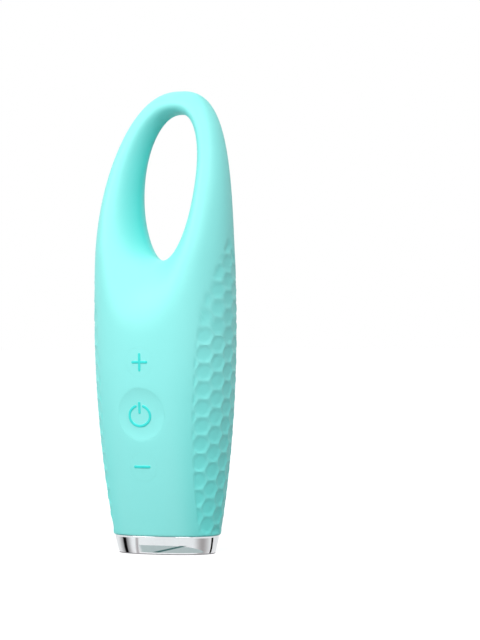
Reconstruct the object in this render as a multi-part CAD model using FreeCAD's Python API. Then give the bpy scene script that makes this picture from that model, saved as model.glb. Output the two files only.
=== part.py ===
"""Hand-held eye massager: a soft sleeve with an eye loop, over a two-part core on a plated foot.

The origin is the middle of the foot's underside, +Z is up, the keys face -Y, and sizes are millimetres.
"""

import FreeCAD
import Part

import math
import os

V = FreeCAD.Vector
Y_AXIS = V(0, 1, 0)
Z_AXIS = V(0, 0, 1)
SIDES = {"left": -1, "right": 1}

# Outer form
HEIGHT = 156.0
HALF_WIDTH = 24.9
WIDEST_HEIGHT = 84.0
HALF_DEPTH = 18.0
DEEPEST_HEIGHT = 66.0
RIM_HALF_WIDTH = 19.1
RIM_HALF_DEPTH = 11.8
TOP_LEAN = 11.8
LEAN_START = 100.0
LEAN_POWER = 1.75
SECTION_POWER = 2.25
ARCH_POWER = 2.48
DEPTH_POWER = 2.06
SECTION_POINTS = 24
SECTION_SEAM = 5
LOWER_SECTIONS = 6
UPPER_SECTIONS = 9

# Eye loop
LOOP_HALF_WIDTH = 11.8
LOOP_HALF_HEIGHT = 25.35
LOOP_WIDEST_LIFT = 0.65
LOOP_TOP_BAR = 7.8
LOOP_TOP_POWER = 2.2
LOOP_LOW_POWER = 1.45
LOOP_MOUTH_POWER = 2.0
LOOP_SIDE_ROUND = 5.0
LOOP_TOP_ROUND = 5.2
LOOP_BOTTOM_ROUND = 22.0
LOOP_LEG_REACH = 10.0
LOOP_BAR_REACH = 4.6
LOOP_CROTCH_REACH = 18.0
LOOP_SET_BACK = 1.3
LOOP_TILT_SHARE = 0.056
LOOP_WALL = 3.4
LOOP_POINTS = 24
LOOP_SECTIONS = 16
FLARE_POWER = 1.6
FLARE_BEND_SHARE = 0.98
FLARE_SPREAD_SHARE = 0.8

# Walls and clearances
SLEEVE_WALL = 2.4
CORE_WALL = 1.6
CROTCH_WALL = 10.0
OVERRUN = 5.0
RUN_CLEARANCE = 0.3
SHAFT_CLEARANCE = 0.05

# Plated foot
FOOT_HEIGHT = 6.3
FOOT_INSET = 0.35
FOOT_TAPER = 1.5
FOOT_WALL = 1.8
FOOT_FLOOR = 2.0
FOOT_LEDGE = 1.6
FOOT_EDGE = 0.5
COLLAR_HEIGHT = 4.5
COLLAR_WALL = 1.5
COLLAR_CLEARANCE = 0.15
GASKET_LIFT = 1.6
GASKET_HEIGHT = 1.2
GASKET_GROOVE = 0.6

# Charging jack
JACK_BORE_RADIUS = 1.3
JACK_BORE_DEPTH = 8.0
JACK_BARREL_RADIUS = 2.4
JACK_RECESS = 0.4
JACK_BODY_RADIUS = 3.6
JACK_BODY_LENGTH = 7.5
JACK_SEAL_HEIGHT = 0.8
JACK_HEADROOM = 4.0

# Loop spine
SPINE_RADIUS = 2.4
SOCKET_DEPTH = 6.0
SOCKET_WALL = 1.4

# Keys
POWER_KEY_SHARE = 0.475
KEY_PITCH = 17.4
POWER_KEY_RADIUS = 8.7
SIDE_KEY_RADIUS = 5.0
DISH_DEPTH = 0.6
KEY_PAD = 1.0
KEY_TRAVEL = 0.6
KEY_WELL_WALL = 1.2
PLUNGER_RADIUS = 2.2

# Battery
BATTERY_RADIUS = 5.25
BATTERY_LENGTH = 40.0
BATTERY_GAP = 0.4
TERMINAL_RADIUS = 2.6
TERMINAL_HEIGHT = 1.0
FOAM_THICKNESS = 1.0
FOAM_HALF_WIDTH = 4.0
RIB = 2.0
RIB_SPAN_SHARE = 0.8
BATTERY_RIB_SHARES = (0.2, 0.8)

# Circuit board
BOARD_HALF_WIDTH = 9.5
BOARD_THICKNESS = 1.2
BOARD_MARGIN = 6.5
BOARD_HOLE_INSET = 2.3
BOARD_BOSS_RADIUS = 1.9
BOARD_SCREW_RADIUS = 0.9
BOARD_SCREW_LENGTH = 5.0
BOARD_SCREW_HEAD_RADIUS = 1.7
BOARD_SCREW_HEAD = 1.1
SWITCH_SIZE = 6.0
SWITCH_HEIGHT = 3.4
STEM_RADIUS = 1.7
STEM_OUT = 1.0
STEM_IN = 1.2
CONTROL_CHIP_SIZE = 5.0
CHARGE_CHIP_SIZE = 3.6
CHIP_HEIGHT = 0.9
CHIP_OFFSET = 6.2
LED_WIDTH = 1.6
LED_LENGTH = 1.0
LED_HEIGHT = 0.8
SOCKET_BLOCK_WIDTH = 5.0
SOCKET_BLOCK_LENGTH = 3.4
SOCKET_BLOCK_HEIGHT = 2.6
PASSIVE_LENGTH = 1.6
PASSIVE_WIDTH = 0.8
PASSIVE_HEIGHT = 0.5
PASSIVE_PITCH = 2.4
PASSIVES_PER_ROW = 4

# Core screws
CORE_BOSS_RADIUS = 3.0
CORE_BOSS_BITE = 1.0
CORE_SCREW_RADIUS = 1.0
CORE_SCREW_REACH = 5.0
CORE_SCREW_SEAT = 3.0
CORE_SCREW_HEAD_RADIUS = 1.9
CORE_SCREW_HEAD = 1.4
CORE_SCREW_SHARES = (0.285, 0.563)

# Vibration motors
MOTOR_RADIUS = 3.4
MOTOR_LENGTH = 13.0
MOTOR_NOSE_RADIUS = 1.3
MOTOR_NOSE = 0.8
BOOT_WALL = 1.1
BOOT_MARGIN = 1.5
MOTOR_GAP = 1.5
SHAFT_RADIUS = 0.5
SHAFT_DEPTH = 6.0
WEIGHT_RADIUS = 2.9
WEIGHT_HUB_RADIUS = 1.2
WEIGHT_HEIGHT = 4.0
WEIGHT_LIFT = 0.5
ROTOR_GAP = 1.4
MOTOR_RIB_SHARES = (0.2, 0.75)

# Leads
LEAD_RADIUS = 0.45
LEAD_SPACING = 1.6
LEAD_DROP = 3.0
LEAD_BEND_SHARE = 0.45

# Places that follow from the sizes above
loop_top = HEIGHT - LOOP_TOP_BAR
loop_middle = loop_top - LOOP_HALF_HEIGHT
loop_bottom = loop_middle - LOOP_HALF_HEIGHT
loop_widest = loop_middle + LOOP_WIDEST_LIFT
core_top = loop_bottom - CROTCH_WALL
jack_top = FOOT_FLOOR + JACK_SEAL_HEIGHT + JACK_BODY_LENGTH
power_height = jack_top + POWER_KEY_SHARE * (core_top - jack_top)
plus_height = power_height + KEY_PITCH
minus_height = power_height - KEY_PITCH
core_inset = SLEEVE_WALL
hollow_inset = SLEEVE_WALL + CORE_WALL
boot_radius = MOTOR_RADIUS + BOOT_WALL


def rise(z, start, end):
    """Share of the way from one height to another."""
    return (z - start) / (end - start)


def bulge(z, greatest, rim, height, power):
    """Half size at a height: a parabola from the rim to the greatest, then a superellipse to the tip."""
    if z <= height:
        return greatest - (greatest - rim) * rise(z, height, FOOT_HEIGHT) ** 2
    return greatest * max(0, 1 - rise(z, height, HEIGHT) ** power) ** (1 / power)


def half_width(z):
    return bulge(z, HALF_WIDTH, RIM_HALF_WIDTH, WIDEST_HEIGHT, ARCH_POWER)


def half_depth(z):
    return bulge(z, HALF_DEPTH, RIM_HALF_DEPTH, DEEPEST_HEIGHT, DEPTH_POWER)


def lean(z):
    """How far the middle of the form is set back at a height."""
    return TOP_LEAN * max(0, rise(z, LEAN_START, HEIGHT)) ** LEAN_POWER


def front_y(z):
    return lean(z) - half_depth(z)


def shrink(x, half):
    """Share of the depth that is left at a distance from the middle line."""
    return max(0, 1 - (abs(x) / half) ** SECTION_POWER) ** (1 / SECTION_POWER)


def signed_power(value, power):
    return math.copysign(abs(value) ** power, value)


def closed_curve(points):
    """A smooth closed wire through the points."""
    curve = Part.BSplineCurve()
    curve.interpolate(Points=points, PeriodicFlag=True)
    return Part.Wire([curve.toShape()])


def oval(half_x, half_y, y, z):
    """A level superellipse wire about (0, y, z), which starts clear of the parting plane and the ribs."""
    points = []
    for step in range(SECTION_POINTS):
        angle = 2 * math.pi * (step + SECTION_SEAM) / SECTION_POINTS
        across = half_x * signed_power(math.cos(angle), 2 / SECTION_POWER)
        along = half_y * signed_power(math.sin(angle), 2 / SECTION_POWER)
        points.append(V(across, y + along, z))
    return closed_curve(points)


def form_section(z, inset):
    return oval(half_width(z) - inset, half_depth(z) - inset, lean(z), z)


def form_slice(inset, bottom, top, sections=LOWER_SECTIONS):
    """The outer form, drawn in by an inset, between two heights."""
    heights = [bottom + (top - bottom) * step / sections for step in range(sections + 1)]
    return Part.makeLoft([form_section(z, inset) for z in heights], True, False)


def whole_form():
    """The outer form from the sleeve's rim to the tip of the loop."""
    body = WIDEST_HEIGHT - FOOT_HEIGHT
    lower = [FOOT_HEIGHT + body * step / LOWER_SECTIONS for step in range(LOWER_SECTIONS + 1)]
    turns = [math.pi / 2 * step / UPPER_SECTIONS for step in range(1, UPPER_SECTIONS)]
    upper = [WIDEST_HEIGHT + (HEIGHT - WIDEST_HEIGHT) * math.sin(turn) for turn in turns]
    wires = [form_section(z, 0) for z in lower + upper]
    return Part.makeLoft(wires + [Part.Vertex(0, lean(HEIGHT), HEIGHT)], True, False)


def half_space(side):
    """A block that holds everything in front of the parting plane (-1) or behind it (1)."""
    reach = 2 * HEIGHT
    half = Part.makeBox(2 * reach, reach, 2 * reach, V(-reach, 0, -reach))
    if side < 0:
        half.translate(V(0, -reach, 0))
    return half


def block(centre, size):
    """A box given by its centre and its size along each axis."""
    return Part.makeBox(size.x, size.y, size.z, centre - size / 2)


def rod(radius, start, end):
    return Part.makeCylinder(radius, (end - start).Length, start, end - start)


def group(shapes):
    return Part.makeCompound(shapes)


def flare(distance, reach, amount):
    """How far the loop's edge has opened at a distance from its waist: rounded, then spreading straight."""
    share = min(abs(distance) / reach, 1)
    spread = FLARE_SPREAD_SHARE * max(0, abs(distance) - reach)
    return amount * (1 - (1 - FLARE_BEND_SHARE * share ** FLARE_POWER) ** (1 / FLARE_POWER)) + spread


def waist_y(z):
    """The depth at which the loop's edge is tightest, at a height."""
    return lean(z) + LOOP_SET_BACK + LOOP_TILT_SHARE * (z - loop_widest)


def loop_section(y, wall):
    """The loop's outline in the upright plane at a depth: an egg, drawn outward by a wall."""
    from_crotch = y - waist_y(loop_bottom)
    side = LOOP_HALF_WIDTH + wall + flare(y - waist_y(loop_widest), LOOP_LEG_REACH, LOOP_SIDE_ROUND)
    above = loop_top - loop_widest + wall + flare(y - waist_y(loop_top), LOOP_BAR_REACH, LOOP_TOP_ROUND)
    below = loop_widest - loop_bottom + wall + flare(from_crotch, LOOP_CROTCH_REACH, LOOP_BOTTOM_ROUND)
    blend = min(abs(from_crotch) / LOOP_CROTCH_REACH, 1)
    low_power = LOOP_LOW_POWER + blend * (LOOP_MOUTH_POWER - LOOP_LOW_POWER)
    points = []
    for step in range(LOOP_POINTS):
        angle = 2 * math.pi * step / LOOP_POINTS
        tall, power = (above, LOOP_TOP_POWER) if step < LOOP_POINTS / 2 else (below, low_power)
        x = side * signed_power(math.cos(angle), 2 / power)
        points.append(V(x, y, loop_widest + tall * signed_power(math.sin(angle), 2 / power)))
    return closed_curve(points)


def loop_opening(wall=0):
    """The flared hole that the loop goes round, drawn outward by a wall."""
    mouth = HALF_DEPTH + OVERRUN
    depths = [mouth * (2 * step / LOOP_SECTIONS - 1) for step in range(LOOP_SECTIONS + 1)]
    return Part.makeLoft([loop_section(y, wall) for y in depths], True, False)


# Heights and places of the loop's spine
spine_top = HEIGHT - LOOP_TOP_BAR / 2
spine_x = (LOOP_HALF_WIDTH + half_width(loop_middle)) / 2
spine_slope = lean(HEIGHT) / (HEIGHT - core_top)


def spine_point(x, z):
    return V(x, spine_slope * (z - core_top), z)


def loop_spine():
    """The stiff arch inside the loop, with its two feet in the core's sockets."""
    foot = core_top - SOCKET_DEPTH
    centre = spine_point(0, loop_middle)
    crown = spine_point(0, spine_top)
    arch = Part.Ellipse(crown, spine_point(spine_x, loop_middle), centre)
    quarter = math.pi / 2
    over = arch.toShape(-quarter, quarter)
    first = over.valueAt(-quarter)
    last = over.valueAt(quarter)
    first_foot = spine_point(first.x, foot)
    last_foot = spine_point(last.x, foot)
    path = Part.Wire([Part.makeLine(first_foot, first), over, Part.makeLine(last, last_foot)])
    profile = Part.Wire([Part.makeCircle(SPINE_RADIUS, first_foot, crown - centre)])
    return path.makePipeShell([profile], True, False)


def keys():
    """Name, height, radius and dish depth of each key."""
    return (
        ("plus", plus_height, SIDE_KEY_RADIUS, 0),
        ("power", power_height, POWER_KEY_RADIUS, DISH_DEPTH),
        ("minus", minus_height, SIDE_KEY_RADIUS, 0),
    )


def pad_back(z, radius, dish):
    """Where a key's pad ends: behind its dish and the fall of the surface to its side."""
    fall = half_depth(z) * (1 - shrink(radius, half_width(z)))
    return front_y(z) + dish + KEY_PAD + fall


def well_floor(z, radius, dish):
    """Where the well behind a key ends, clear of the pressed pad."""
    return pad_back(z, radius, dish) + KEY_TRAVEL + RUN_CLEARANCE


# Depths of the board and battery, stacked from the back wall
battery_bottom = jack_top + JACK_HEADROOM
battery_top = battery_bottom + BATTERY_LENGTH
battery_y = half_depth(battery_bottom) - hollow_inset - BATTERY_GAP - BATTERY_RADIUS
board_back = battery_y - BATTERY_RADIUS - FOAM_THICKNESS
board_front = board_back - BOARD_THICKNESS
board_bottom = minus_height - BOARD_MARGIN
board_top = plus_height + BOARD_MARGIN
switch_face = board_front - SWITCH_HEIGHT
stem_end = switch_face - STEM_OUT

# Places of the motors, under the core's top and beside the battery
motor_x = BATTERY_RADIUS + boot_radius + MOTOR_GAP
motor_y = battery_y
weight_top = core_top - CORE_WALL - ROTOR_GAP
weight_bottom = weight_top - WEIGHT_HEIGHT
motor_top = weight_bottom - WEIGHT_LIFT - MOTOR_NOSE
motor_bottom = motor_top - MOTOR_LENGTH


def board_holes():
    """Centres of the board's four screw holes, as x and z."""
    across = BOARD_HALF_WIDTH - BOARD_HOLE_INSET
    heights = (board_bottom + BOARD_HOLE_INSET, board_top - BOARD_HOLE_INSET)
    return [(side * across, z) for side in SIDES.values() for z in heights]


def core_screw_places():
    """Centres of the core's four screws, as x and z, with their bosses let into the side walls."""
    wall = hollow_inset + CORE_BOSS_RADIUS - CORE_BOSS_BITE
    heights = [FOOT_HEIGHT + share * (core_top - FOOT_HEIGHT) for share in CORE_SCREW_SHARES]
    return [(side * (half_width(z) - wall), z) for side in SIDES.values() for z in heights]


def board_shank(x, z):
    return rod(BOARD_SCREW_RADIUS, V(x, board_back - BOARD_SCREW_LENGTH, z), V(x, board_back, z))


def core_shank(x, z):
    return rod(CORE_SCREW_RADIUS, V(x, -CORE_SCREW_REACH, z), V(x, CORE_SCREW_SEAT, z))


def rear_rib(x, y, z, radius):
    """A rib from the back wall with a round seat of that radius."""
    span = 2 * radius * RIB_SPAN_SHARE
    rib = block(V(x, y + HALF_DEPTH / 2, z), V(span, HALF_DEPTH, RIB))
    return rib.cut(rod(radius, V(x, y, z - RIB), V(x, y, z + RIB)))


def core_ribs():
    """Everything that stands on the core's inner walls."""
    shelf = V(2 * BATTERY_RADIUS * RIB_SPAN_SHARE, HALF_DEPTH, RIB)
    ribs = [block(V(0, battery_y + HALF_DEPTH / 2, battery_bottom - RIB / 2), shelf)]
    for share in BATTERY_RIB_SHARES:
        ribs.append(rear_rib(0, battery_y, battery_bottom + share * BATTERY_LENGTH, BATTERY_RADIUS))
    for side in SIDES.values():
        for share in MOTOR_RIB_SHARES:
            z = motor_bottom + share * MOTOR_LENGTH
            ribs.append(rear_rib(side * motor_x, motor_y, z, boot_radius))
        socket_foot = spine_point(side * spine_x, core_top - SOCKET_DEPTH - SOCKET_WALL)
        ribs.append(rod(SPINE_RADIUS + SOCKET_WALL, socket_foot, spine_point(side * spine_x, core_top)))
    for x, z in board_holes():
        ribs.append(rod(BOARD_BOSS_RADIUS, V(x, -HALF_DEPTH, z), V(x, board_front, z)))
    for x, z in core_screw_places():
        ribs.append(rod(CORE_BOSS_RADIUS, V(x, -HALF_DEPTH, z), V(x, HALF_DEPTH, z)))
    for _, z, radius, dish in keys():
        well_back = well_floor(z, radius, dish) + KEY_WELL_WALL
        ribs.append(rod(radius + RUN_CLEARANCE + KEY_WELL_WALL, V(0, -HALF_DEPTH, z), V(0, well_back, z)))
    return ribs


def whole_core(outside, hollow, spine):
    """The core before it is parted: a shell with ribs, bosses, sockets and holes."""
    room = hollow
    for rib in core_ribs():
        room = room.cut(rib)
    core = outside.cut(room).cut(spine)
    for _, z, radius, dish in keys():
        floor = V(0, well_floor(z, radius, dish), z)
        core = core.cut(rod(radius + RUN_CLEARANCE, V(0, -HEIGHT, z), floor))
        core = core.cut(rod(PLUNGER_RADIUS + RUN_CLEARANCE, V(0, -HEIGHT, z), V(0, board_front, z)))
    for x, z in board_holes():
        core = core.cut(board_shank(x, z))
    sink_radius = CORE_SCREW_HEAD_RADIUS + RUN_CLEARANCE
    for x, z in core_screw_places():
        core = core.cut(core_shank(x, z))
        core = core.cut(rod(sink_radius, V(x, CORE_SCREW_SEAT, z), V(x, HEIGHT, z)))
    return core


def sleeve(form, outside, spine):
    """The soft sleeve: the outer form, open at the loop, round the core, the spine and the keys."""
    skin = form.cut(loop_opening()).cut(outside).cut(spine)
    for _, z, radius, _ in keys():
        skin = skin.cut(rod(radius, V(0, -HEIGHT, z), V(0, 0, z)))
    return skin


def key_pad(form, z, radius, dish):
    """One key: a round of the sleeve's own surface, dished if it is the power key."""
    bore = rod(radius - RUN_CLEARANCE, V(0, -HEIGHT, z), V(0, pad_back(z, radius, dish), z))
    pad = bore.common(form)
    if dish:
        scoop = (radius ** 2 + dish ** 2) / (2 * dish)
        axis_y = front_y(z) + dish - scoop
        pad = pad.cut(rod(scoop, V(-HALF_WIDTH, axis_y, z), V(HALF_WIDTH, axis_y, z)))
    return pad


def key_nodes(form):
    nodes = {}
    for name, z, radius, dish in keys():
        nodes[name + "_key"] = key_pad(form, z, radius, dish)
        stem_tip = V(0, stem_end, z)
        stem_root = V(0, switch_face + STEM_IN, z)
        nodes[name + "_plunger"] = rod(PLUNGER_RADIUS, V(0, pad_back(z, radius, dish), z), stem_tip)
        nodes[name + "_switch_stem"] = rod(STEM_RADIUS, stem_tip, stem_root)
        well = rod(STEM_RADIUS + SHAFT_CLEARANCE, stem_tip, stem_root + Y_AXIS * 2 * KEY_TRAVEL)
        nodes[name + "_switch"] = on_board(0, z, V(SWITCH_SIZE, SWITCH_HEIGHT, SWITCH_SIZE)).cut(well)
    return nodes


def on_board(x, z, size):
    """A component on the board's front, with size as width, height off the board and length."""
    return block(V(x, board_front - size.y / 2, z), size)


def board_nodes():
    board_size = V(2 * BOARD_HALF_WIDTH, BOARD_THICKNESS, board_top - board_bottom)
    board = block(V(0, (board_front + board_back) / 2, (board_top + board_bottom) / 2), board_size)
    screws = []
    for x, z in board_holes():
        board = board.cut(board_shank(x, z))
        head = rod(BOARD_SCREW_HEAD_RADIUS, V(x, board_back, z), V(x, board_back + BOARD_SCREW_HEAD, z))
        screws.append(board_shank(x, z).fuse(head).removeSplitter())
    upper = power_height + KEY_PITCH / 2
    lower = power_height - KEY_PITCH / 2
    chip = V(CONTROL_CHIP_SIZE, CHIP_HEIGHT, CONTROL_CHIP_SIZE)
    charger = V(CHARGE_CHIP_SIZE, CHIP_HEIGHT, CHARGE_CHIP_SIZE)
    led = V(LED_WIDTH, LED_HEIGHT, LED_LENGTH)
    leds = [on_board(side * CHIP_OFFSET, power_height, led) for side in SIDES.values()]
    passive = V(PASSIVE_LENGTH, PASSIVE_HEIGHT, PASSIVE_WIDTH)
    steps = [PASSIVE_PITCH * (step - (PASSIVES_PER_ROW - 1) / 2) for step in range(PASSIVES_PER_ROW)]
    places = [(x, z + step) for x, z in ((-CHIP_OFFSET, upper), (CHIP_OFFSET, lower)) for step in steps]
    socket = V(SOCKET_BLOCK_WIDTH, SOCKET_BLOCK_HEIGHT, SOCKET_BLOCK_LENGTH)
    socket_x = BOARD_HALF_WIDTH - SOCKET_BLOCK_WIDTH / 2
    sockets = [on_board(side * socket_x, plus_height, socket) for side in SIDES.values()]
    return {
        "circuit_board": board,
        "board_screws": group(screws),
        "control_chip": on_board(CHIP_OFFSET, upper, chip),
        "charge_chip": on_board(-CHIP_OFFSET, lower, charger),
        "indicator_leds": group(leds),
        "board_passives": group([on_board(x, z, passive) for x, z in places]),
        "lead_sockets": group(sockets),
    }


def battery_nodes():
    low = V(0, battery_y, battery_bottom)
    high = V(0, battery_y, battery_top)
    foam_size = V(2 * FOAM_HALF_WIDTH, FOAM_THICKNESS, BATTERY_LENGTH / 2)
    foam_y = board_back + FOAM_THICKNESS / 2
    return {
        "battery_cell": rod(BATTERY_RADIUS, low, high),
        "battery_terminal": rod(TERMINAL_RADIUS, high, high + Z_AXIS * TERMINAL_HEIGHT),
        "battery_foam": block(V(0, foam_y, (battery_bottom + battery_top) / 2), foam_size),
    }


def eccentric_weight(x):
    """Half a round weight on a hub, with the hole for its shaft."""
    bottom = V(x, motor_y, weight_bottom)
    lift = Z_AXIS * WEIGHT_HEIGHT
    rear_size = V(2 * WEIGHT_RADIUS, WEIGHT_RADIUS, WEIGHT_HEIGHT)
    rear = block(bottom + V(0, WEIGHT_RADIUS / 2, WEIGHT_HEIGHT / 2), rear_size)
    half = rod(WEIGHT_RADIUS, bottom, bottom + lift).common(rear)
    hub = rod(WEIGHT_HUB_RADIUS, bottom, bottom + lift)
    return half.fuse(hub).cut(rod(SHAFT_RADIUS, bottom, bottom + lift)).removeSplitter()


def motor_nodes():
    nodes = {}
    for name, side in SIDES.items():
        x = side * motor_x
        low = V(x, motor_y, motor_bottom)
        high = V(x, motor_y, motor_top)
        nose = high + Z_AXIS * MOTOR_NOSE
        can = rod(MOTOR_RADIUS, low, high).fuse(rod(MOTOR_NOSE_RADIUS, high, nose)).removeSplitter()
        shaft_foot = high - Z_AXIS * SHAFT_DEPTH
        well_foot = shaft_foot - Z_AXIS * SHAFT_CLEARANCE
        nodes[name + "_motor"] = can.cut(rod(SHAFT_RADIUS + SHAFT_CLEARANCE, well_foot, nose))
        boot = rod(boot_radius, low + Z_AXIS * BOOT_MARGIN, high - Z_AXIS * BOOT_MARGIN)
        nodes[name + "_motor_boot"] = boot.cut(rod(MOTOR_RADIUS, low, high))
        nodes[name + "_motor_shaft"] = rod(SHAFT_RADIUS, shaft_foot, V(x, motor_y, weight_top))
        nodes[name + "_eccentric_weight"] = eccentric_weight(x)
    return nodes


def core_screws():
    screws = []
    for x, z in core_screw_places():
        seat = V(x, CORE_SCREW_SEAT, z)
        head = rod(CORE_SCREW_HEAD_RADIUS, seat, seat + Y_AXIS * CORE_SCREW_HEAD)
        screws.append(core_shank(x, z).fuse(head).removeSplitter())
    return group(screws)


def foot_nodes(hollow):
    """The plated foot with its collar, its gasket, and the charging jack in its floor."""
    rim_x = RIM_HALF_WIDTH - FOOT_INSET
    rim_y = RIM_HALF_DEPTH - FOOT_INSET
    top = oval(rim_x, rim_y, 0, FOOT_HEIGHT)
    foot = Part.makeLoft([oval(rim_x - FOOT_TAPER, rim_y - FOOT_TAPER, 0, 0), top], True, True)
    lowest = [edge for edge in foot.Edges if edge.BoundBox.ZMax < FOOT_FLOOR]
    foot = foot.makeFillet(FOOT_EDGE, lowest)
    cavity_wall = FOOT_TAPER + FOOT_WALL
    cavity = oval(rim_x - cavity_wall, rim_y - cavity_wall, 0, FOOT_FLOOR)
    foot = foot.cut(Part.Face(cavity).extrude(Z_AXIS * (FOOT_HEIGHT - FOOT_LEDGE - FOOT_FLOOR)))
    collar_inset = hollow_inset + COLLAR_CLEARANCE
    collar_top = FOOT_HEIGHT + COLLAR_HEIGHT
    foot = foot.fuse(form_slice(collar_inset, FOOT_HEIGHT, collar_top))
    foot = foot.cut(form_slice(collar_inset + COLLAR_WALL, FOOT_FLOOR, collar_top + OVERRUN))
    seal_bottom = FOOT_HEIGHT + GASKET_LIFT
    groove = form_slice(collar_inset + GASKET_GROOVE, FOOT_HEIGHT - OVERRUN, collar_top + OVERRUN)
    seal_band = block(V(0, 0, seal_bottom + GASKET_HEIGHT / 2), V(HEIGHT, HEIGHT, GASKET_HEIGHT))
    gasket = hollow.common(seal_band).cut(groove)
    seat = V(0, 0, FOOT_FLOOR)
    body_foot = seat + Z_AXIS * JACK_SEAL_HEIGHT
    mouth = V(0, 0, JACK_RECESS)
    barrel = rod(JACK_BARREL_RADIUS, mouth, body_foot)
    body = rod(JACK_BODY_RADIUS, body_foot, body_foot + Z_AXIS * JACK_BODY_LENGTH)
    jack = body.fuse(barrel).removeSplitter()
    seal = rod(JACK_BODY_RADIUS, seat, body_foot).cut(rod(JACK_BARREL_RADIUS, seat, body_foot))
    return {
        "plated_foot": foot.cut(gasket).cut(rod(JACK_BARREL_RADIUS, V(0, 0, -OVERRUN), seat)),
        "foot_gasket": gasket,
        "charge_jack": jack.cut(rod(JACK_BORE_RADIUS, mouth, mouth + Z_AXIS * JACK_BORE_DEPTH)),
        "jack_seal": seal,
    }


def lead(points):
    """A round lead along straight runs, with the largest arcs that its corners allow."""
    edges = []
    start = points[0]
    for before, corner, after in zip(points, points[1:], points[2:]):
        back = before - corner
        on = after - corner
        half_turn = (math.pi - back.getAngle(on)) / 2
        tangent = LEAD_BEND_SHARE * min(back.Length, on.Length)
        into = corner + back.normalize() * tangent
        out = corner + on.normalize() * tangent
        inward = (back + on).normalize()
        bend = tangent / math.tan(half_turn)
        crown = corner + inward * (bend / math.cos(half_turn) - bend)
        edges.append(Part.makeLine(start, into))
        edges.append(Part.Arc(into, crown, out).toShape())
        start = out
    edges.append(Part.makeLine(start, points[-1]))
    profile = Part.Wire([Part.makeCircle(LEAD_RADIUS, points[0], points[1] - points[0])])
    return Part.Wire(edges).makePipeShell([profile], True, False)


def motor_lead(side, step):
    """From the foot of a motor, inward and forward to the back of the board."""
    shift = side * LEAD_SPACING * (step + 1) / 2
    x = side * motor_x - shift
    end_x = side * BOARD_HALF_WIDTH - shift
    drop = motor_bottom - LEAD_DROP
    board_z = drop - LEAD_DROP
    middle_y = (motor_y + board_back) / 2
    return lead([
        V(x, motor_y, motor_bottom),
        V(x, motor_y, drop),
        V(end_x, middle_y, board_z),
        V(end_x, board_back, board_z),
    ])


def battery_lead(side):
    """From the battery's terminal, up and forward to the back of the board."""
    x = side * LEAD_SPACING / 2
    terminal_top = battery_top + TERMINAL_HEIGHT
    turn = terminal_top + LEAD_DROP / 2
    board_z = turn + LEAD_DROP / 2
    return lead([
        V(x, battery_y, terminal_top),
        V(x, battery_y, turn),
        V(x, (battery_y + board_back) / 2, board_z),
        V(x, board_back, board_z),
    ])


def jack_lead(side):
    """From the jack, up and round the board's lower end to its front."""
    x = side * LEAD_SPACING
    turn = jack_top + LEAD_DROP / 2
    board_z = board_bottom + LEAD_DROP / 2
    front_gap = board_front - LEAD_DROP
    return lead([
        V(x, 0, jack_top),
        V(x, 0, turn),
        V(x, front_gap, turn + LEAD_DROP),
        V(x, front_gap, board_z),
        V(x, board_front, board_z),
    ])


def lead_nodes():
    """Leads from the motors, the battery and the jack to the board."""
    sides = SIDES.values()
    return {
        "motor_leads": group([motor_lead(side, step) for side in sides for step in (0, 1)]),
        "battery_leads": group([battery_lead(side) for side in sides]),
        "jack_leads": group([jack_lead(side) for side in sides]),
    }


def build():
    form = whole_form()
    spine = loop_spine()
    outside = form_slice(core_inset, FOOT_HEIGHT, core_top).cut(loop_opening(LOOP_WALL))
    hollow = form_slice(hollow_inset, FOOT_HEIGHT - OVERRUN, core_top - CORE_WALL)
    hollow = hollow.cut(loop_opening(LOOP_WALL + 2 * CORE_WALL))
    core = whole_core(outside, hollow, spine)
    nodes = {
        "silicone_sleeve": sleeve(form, outside, spine),
        "loop_spine": spine,
        "core_front": core.common(half_space(-1)),
        "core_rear": core.common(half_space(1)),
        "core_screws": core_screws(),
    }
    nodes.update(foot_nodes(hollow))
    nodes.update(key_nodes(form))
    nodes.update(board_nodes())
    nodes.update(battery_nodes())
    nodes.update(motor_nodes())
    nodes.update(lead_nodes())
    return nodes


def main():
    os.makedirs("parts", exist_ok=True)
    for name, shape in build().items():
        solids = shape.Solids
        whole = solids[0] if len(solids) == 1 else Part.makeCompound(solids)
        whole.exportStep(os.path.join("parts", name + ".step"))
        print(name, len(solids), whole.isValid(), round(whole.Volume, 2))


main()
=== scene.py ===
"""Looks of a hand-held eye massager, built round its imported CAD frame.

Sizes are millimetres until a mesh is made, apart from the lamps, the camera's clip and the floor's glow,
which are in metres. The frame is the CAD's: +Z up, and the keys face -Y.
"""

import logging
import math
from dataclasses import dataclass, field
from enum import Enum

import bmesh
import bpy
import numpy as np
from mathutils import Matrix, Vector


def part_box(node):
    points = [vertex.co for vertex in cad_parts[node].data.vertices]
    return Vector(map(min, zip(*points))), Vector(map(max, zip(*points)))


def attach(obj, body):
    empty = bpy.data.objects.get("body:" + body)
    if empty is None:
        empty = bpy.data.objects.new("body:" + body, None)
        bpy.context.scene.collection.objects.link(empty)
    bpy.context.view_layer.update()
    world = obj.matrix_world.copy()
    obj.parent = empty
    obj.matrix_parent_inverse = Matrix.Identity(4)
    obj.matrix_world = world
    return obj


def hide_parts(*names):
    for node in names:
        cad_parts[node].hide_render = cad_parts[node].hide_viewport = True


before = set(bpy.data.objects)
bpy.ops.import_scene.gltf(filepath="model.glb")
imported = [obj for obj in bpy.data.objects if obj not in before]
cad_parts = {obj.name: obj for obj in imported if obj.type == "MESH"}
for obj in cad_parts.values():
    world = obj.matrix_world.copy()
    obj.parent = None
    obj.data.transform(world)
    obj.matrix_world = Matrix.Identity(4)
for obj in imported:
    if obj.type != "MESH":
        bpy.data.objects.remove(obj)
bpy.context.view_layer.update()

LOG = logging.getLogger("eye_massager")
MM = 0.001
TINY = 1e-9
# Names of two mesh marks: the sleeve's painted shade, and how opaque each painted reflection is
PAINTED_SHADE = "painted_shade"
COVER = "cover"
Triple = tuple[float, float, float]
Colour = Triple
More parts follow.
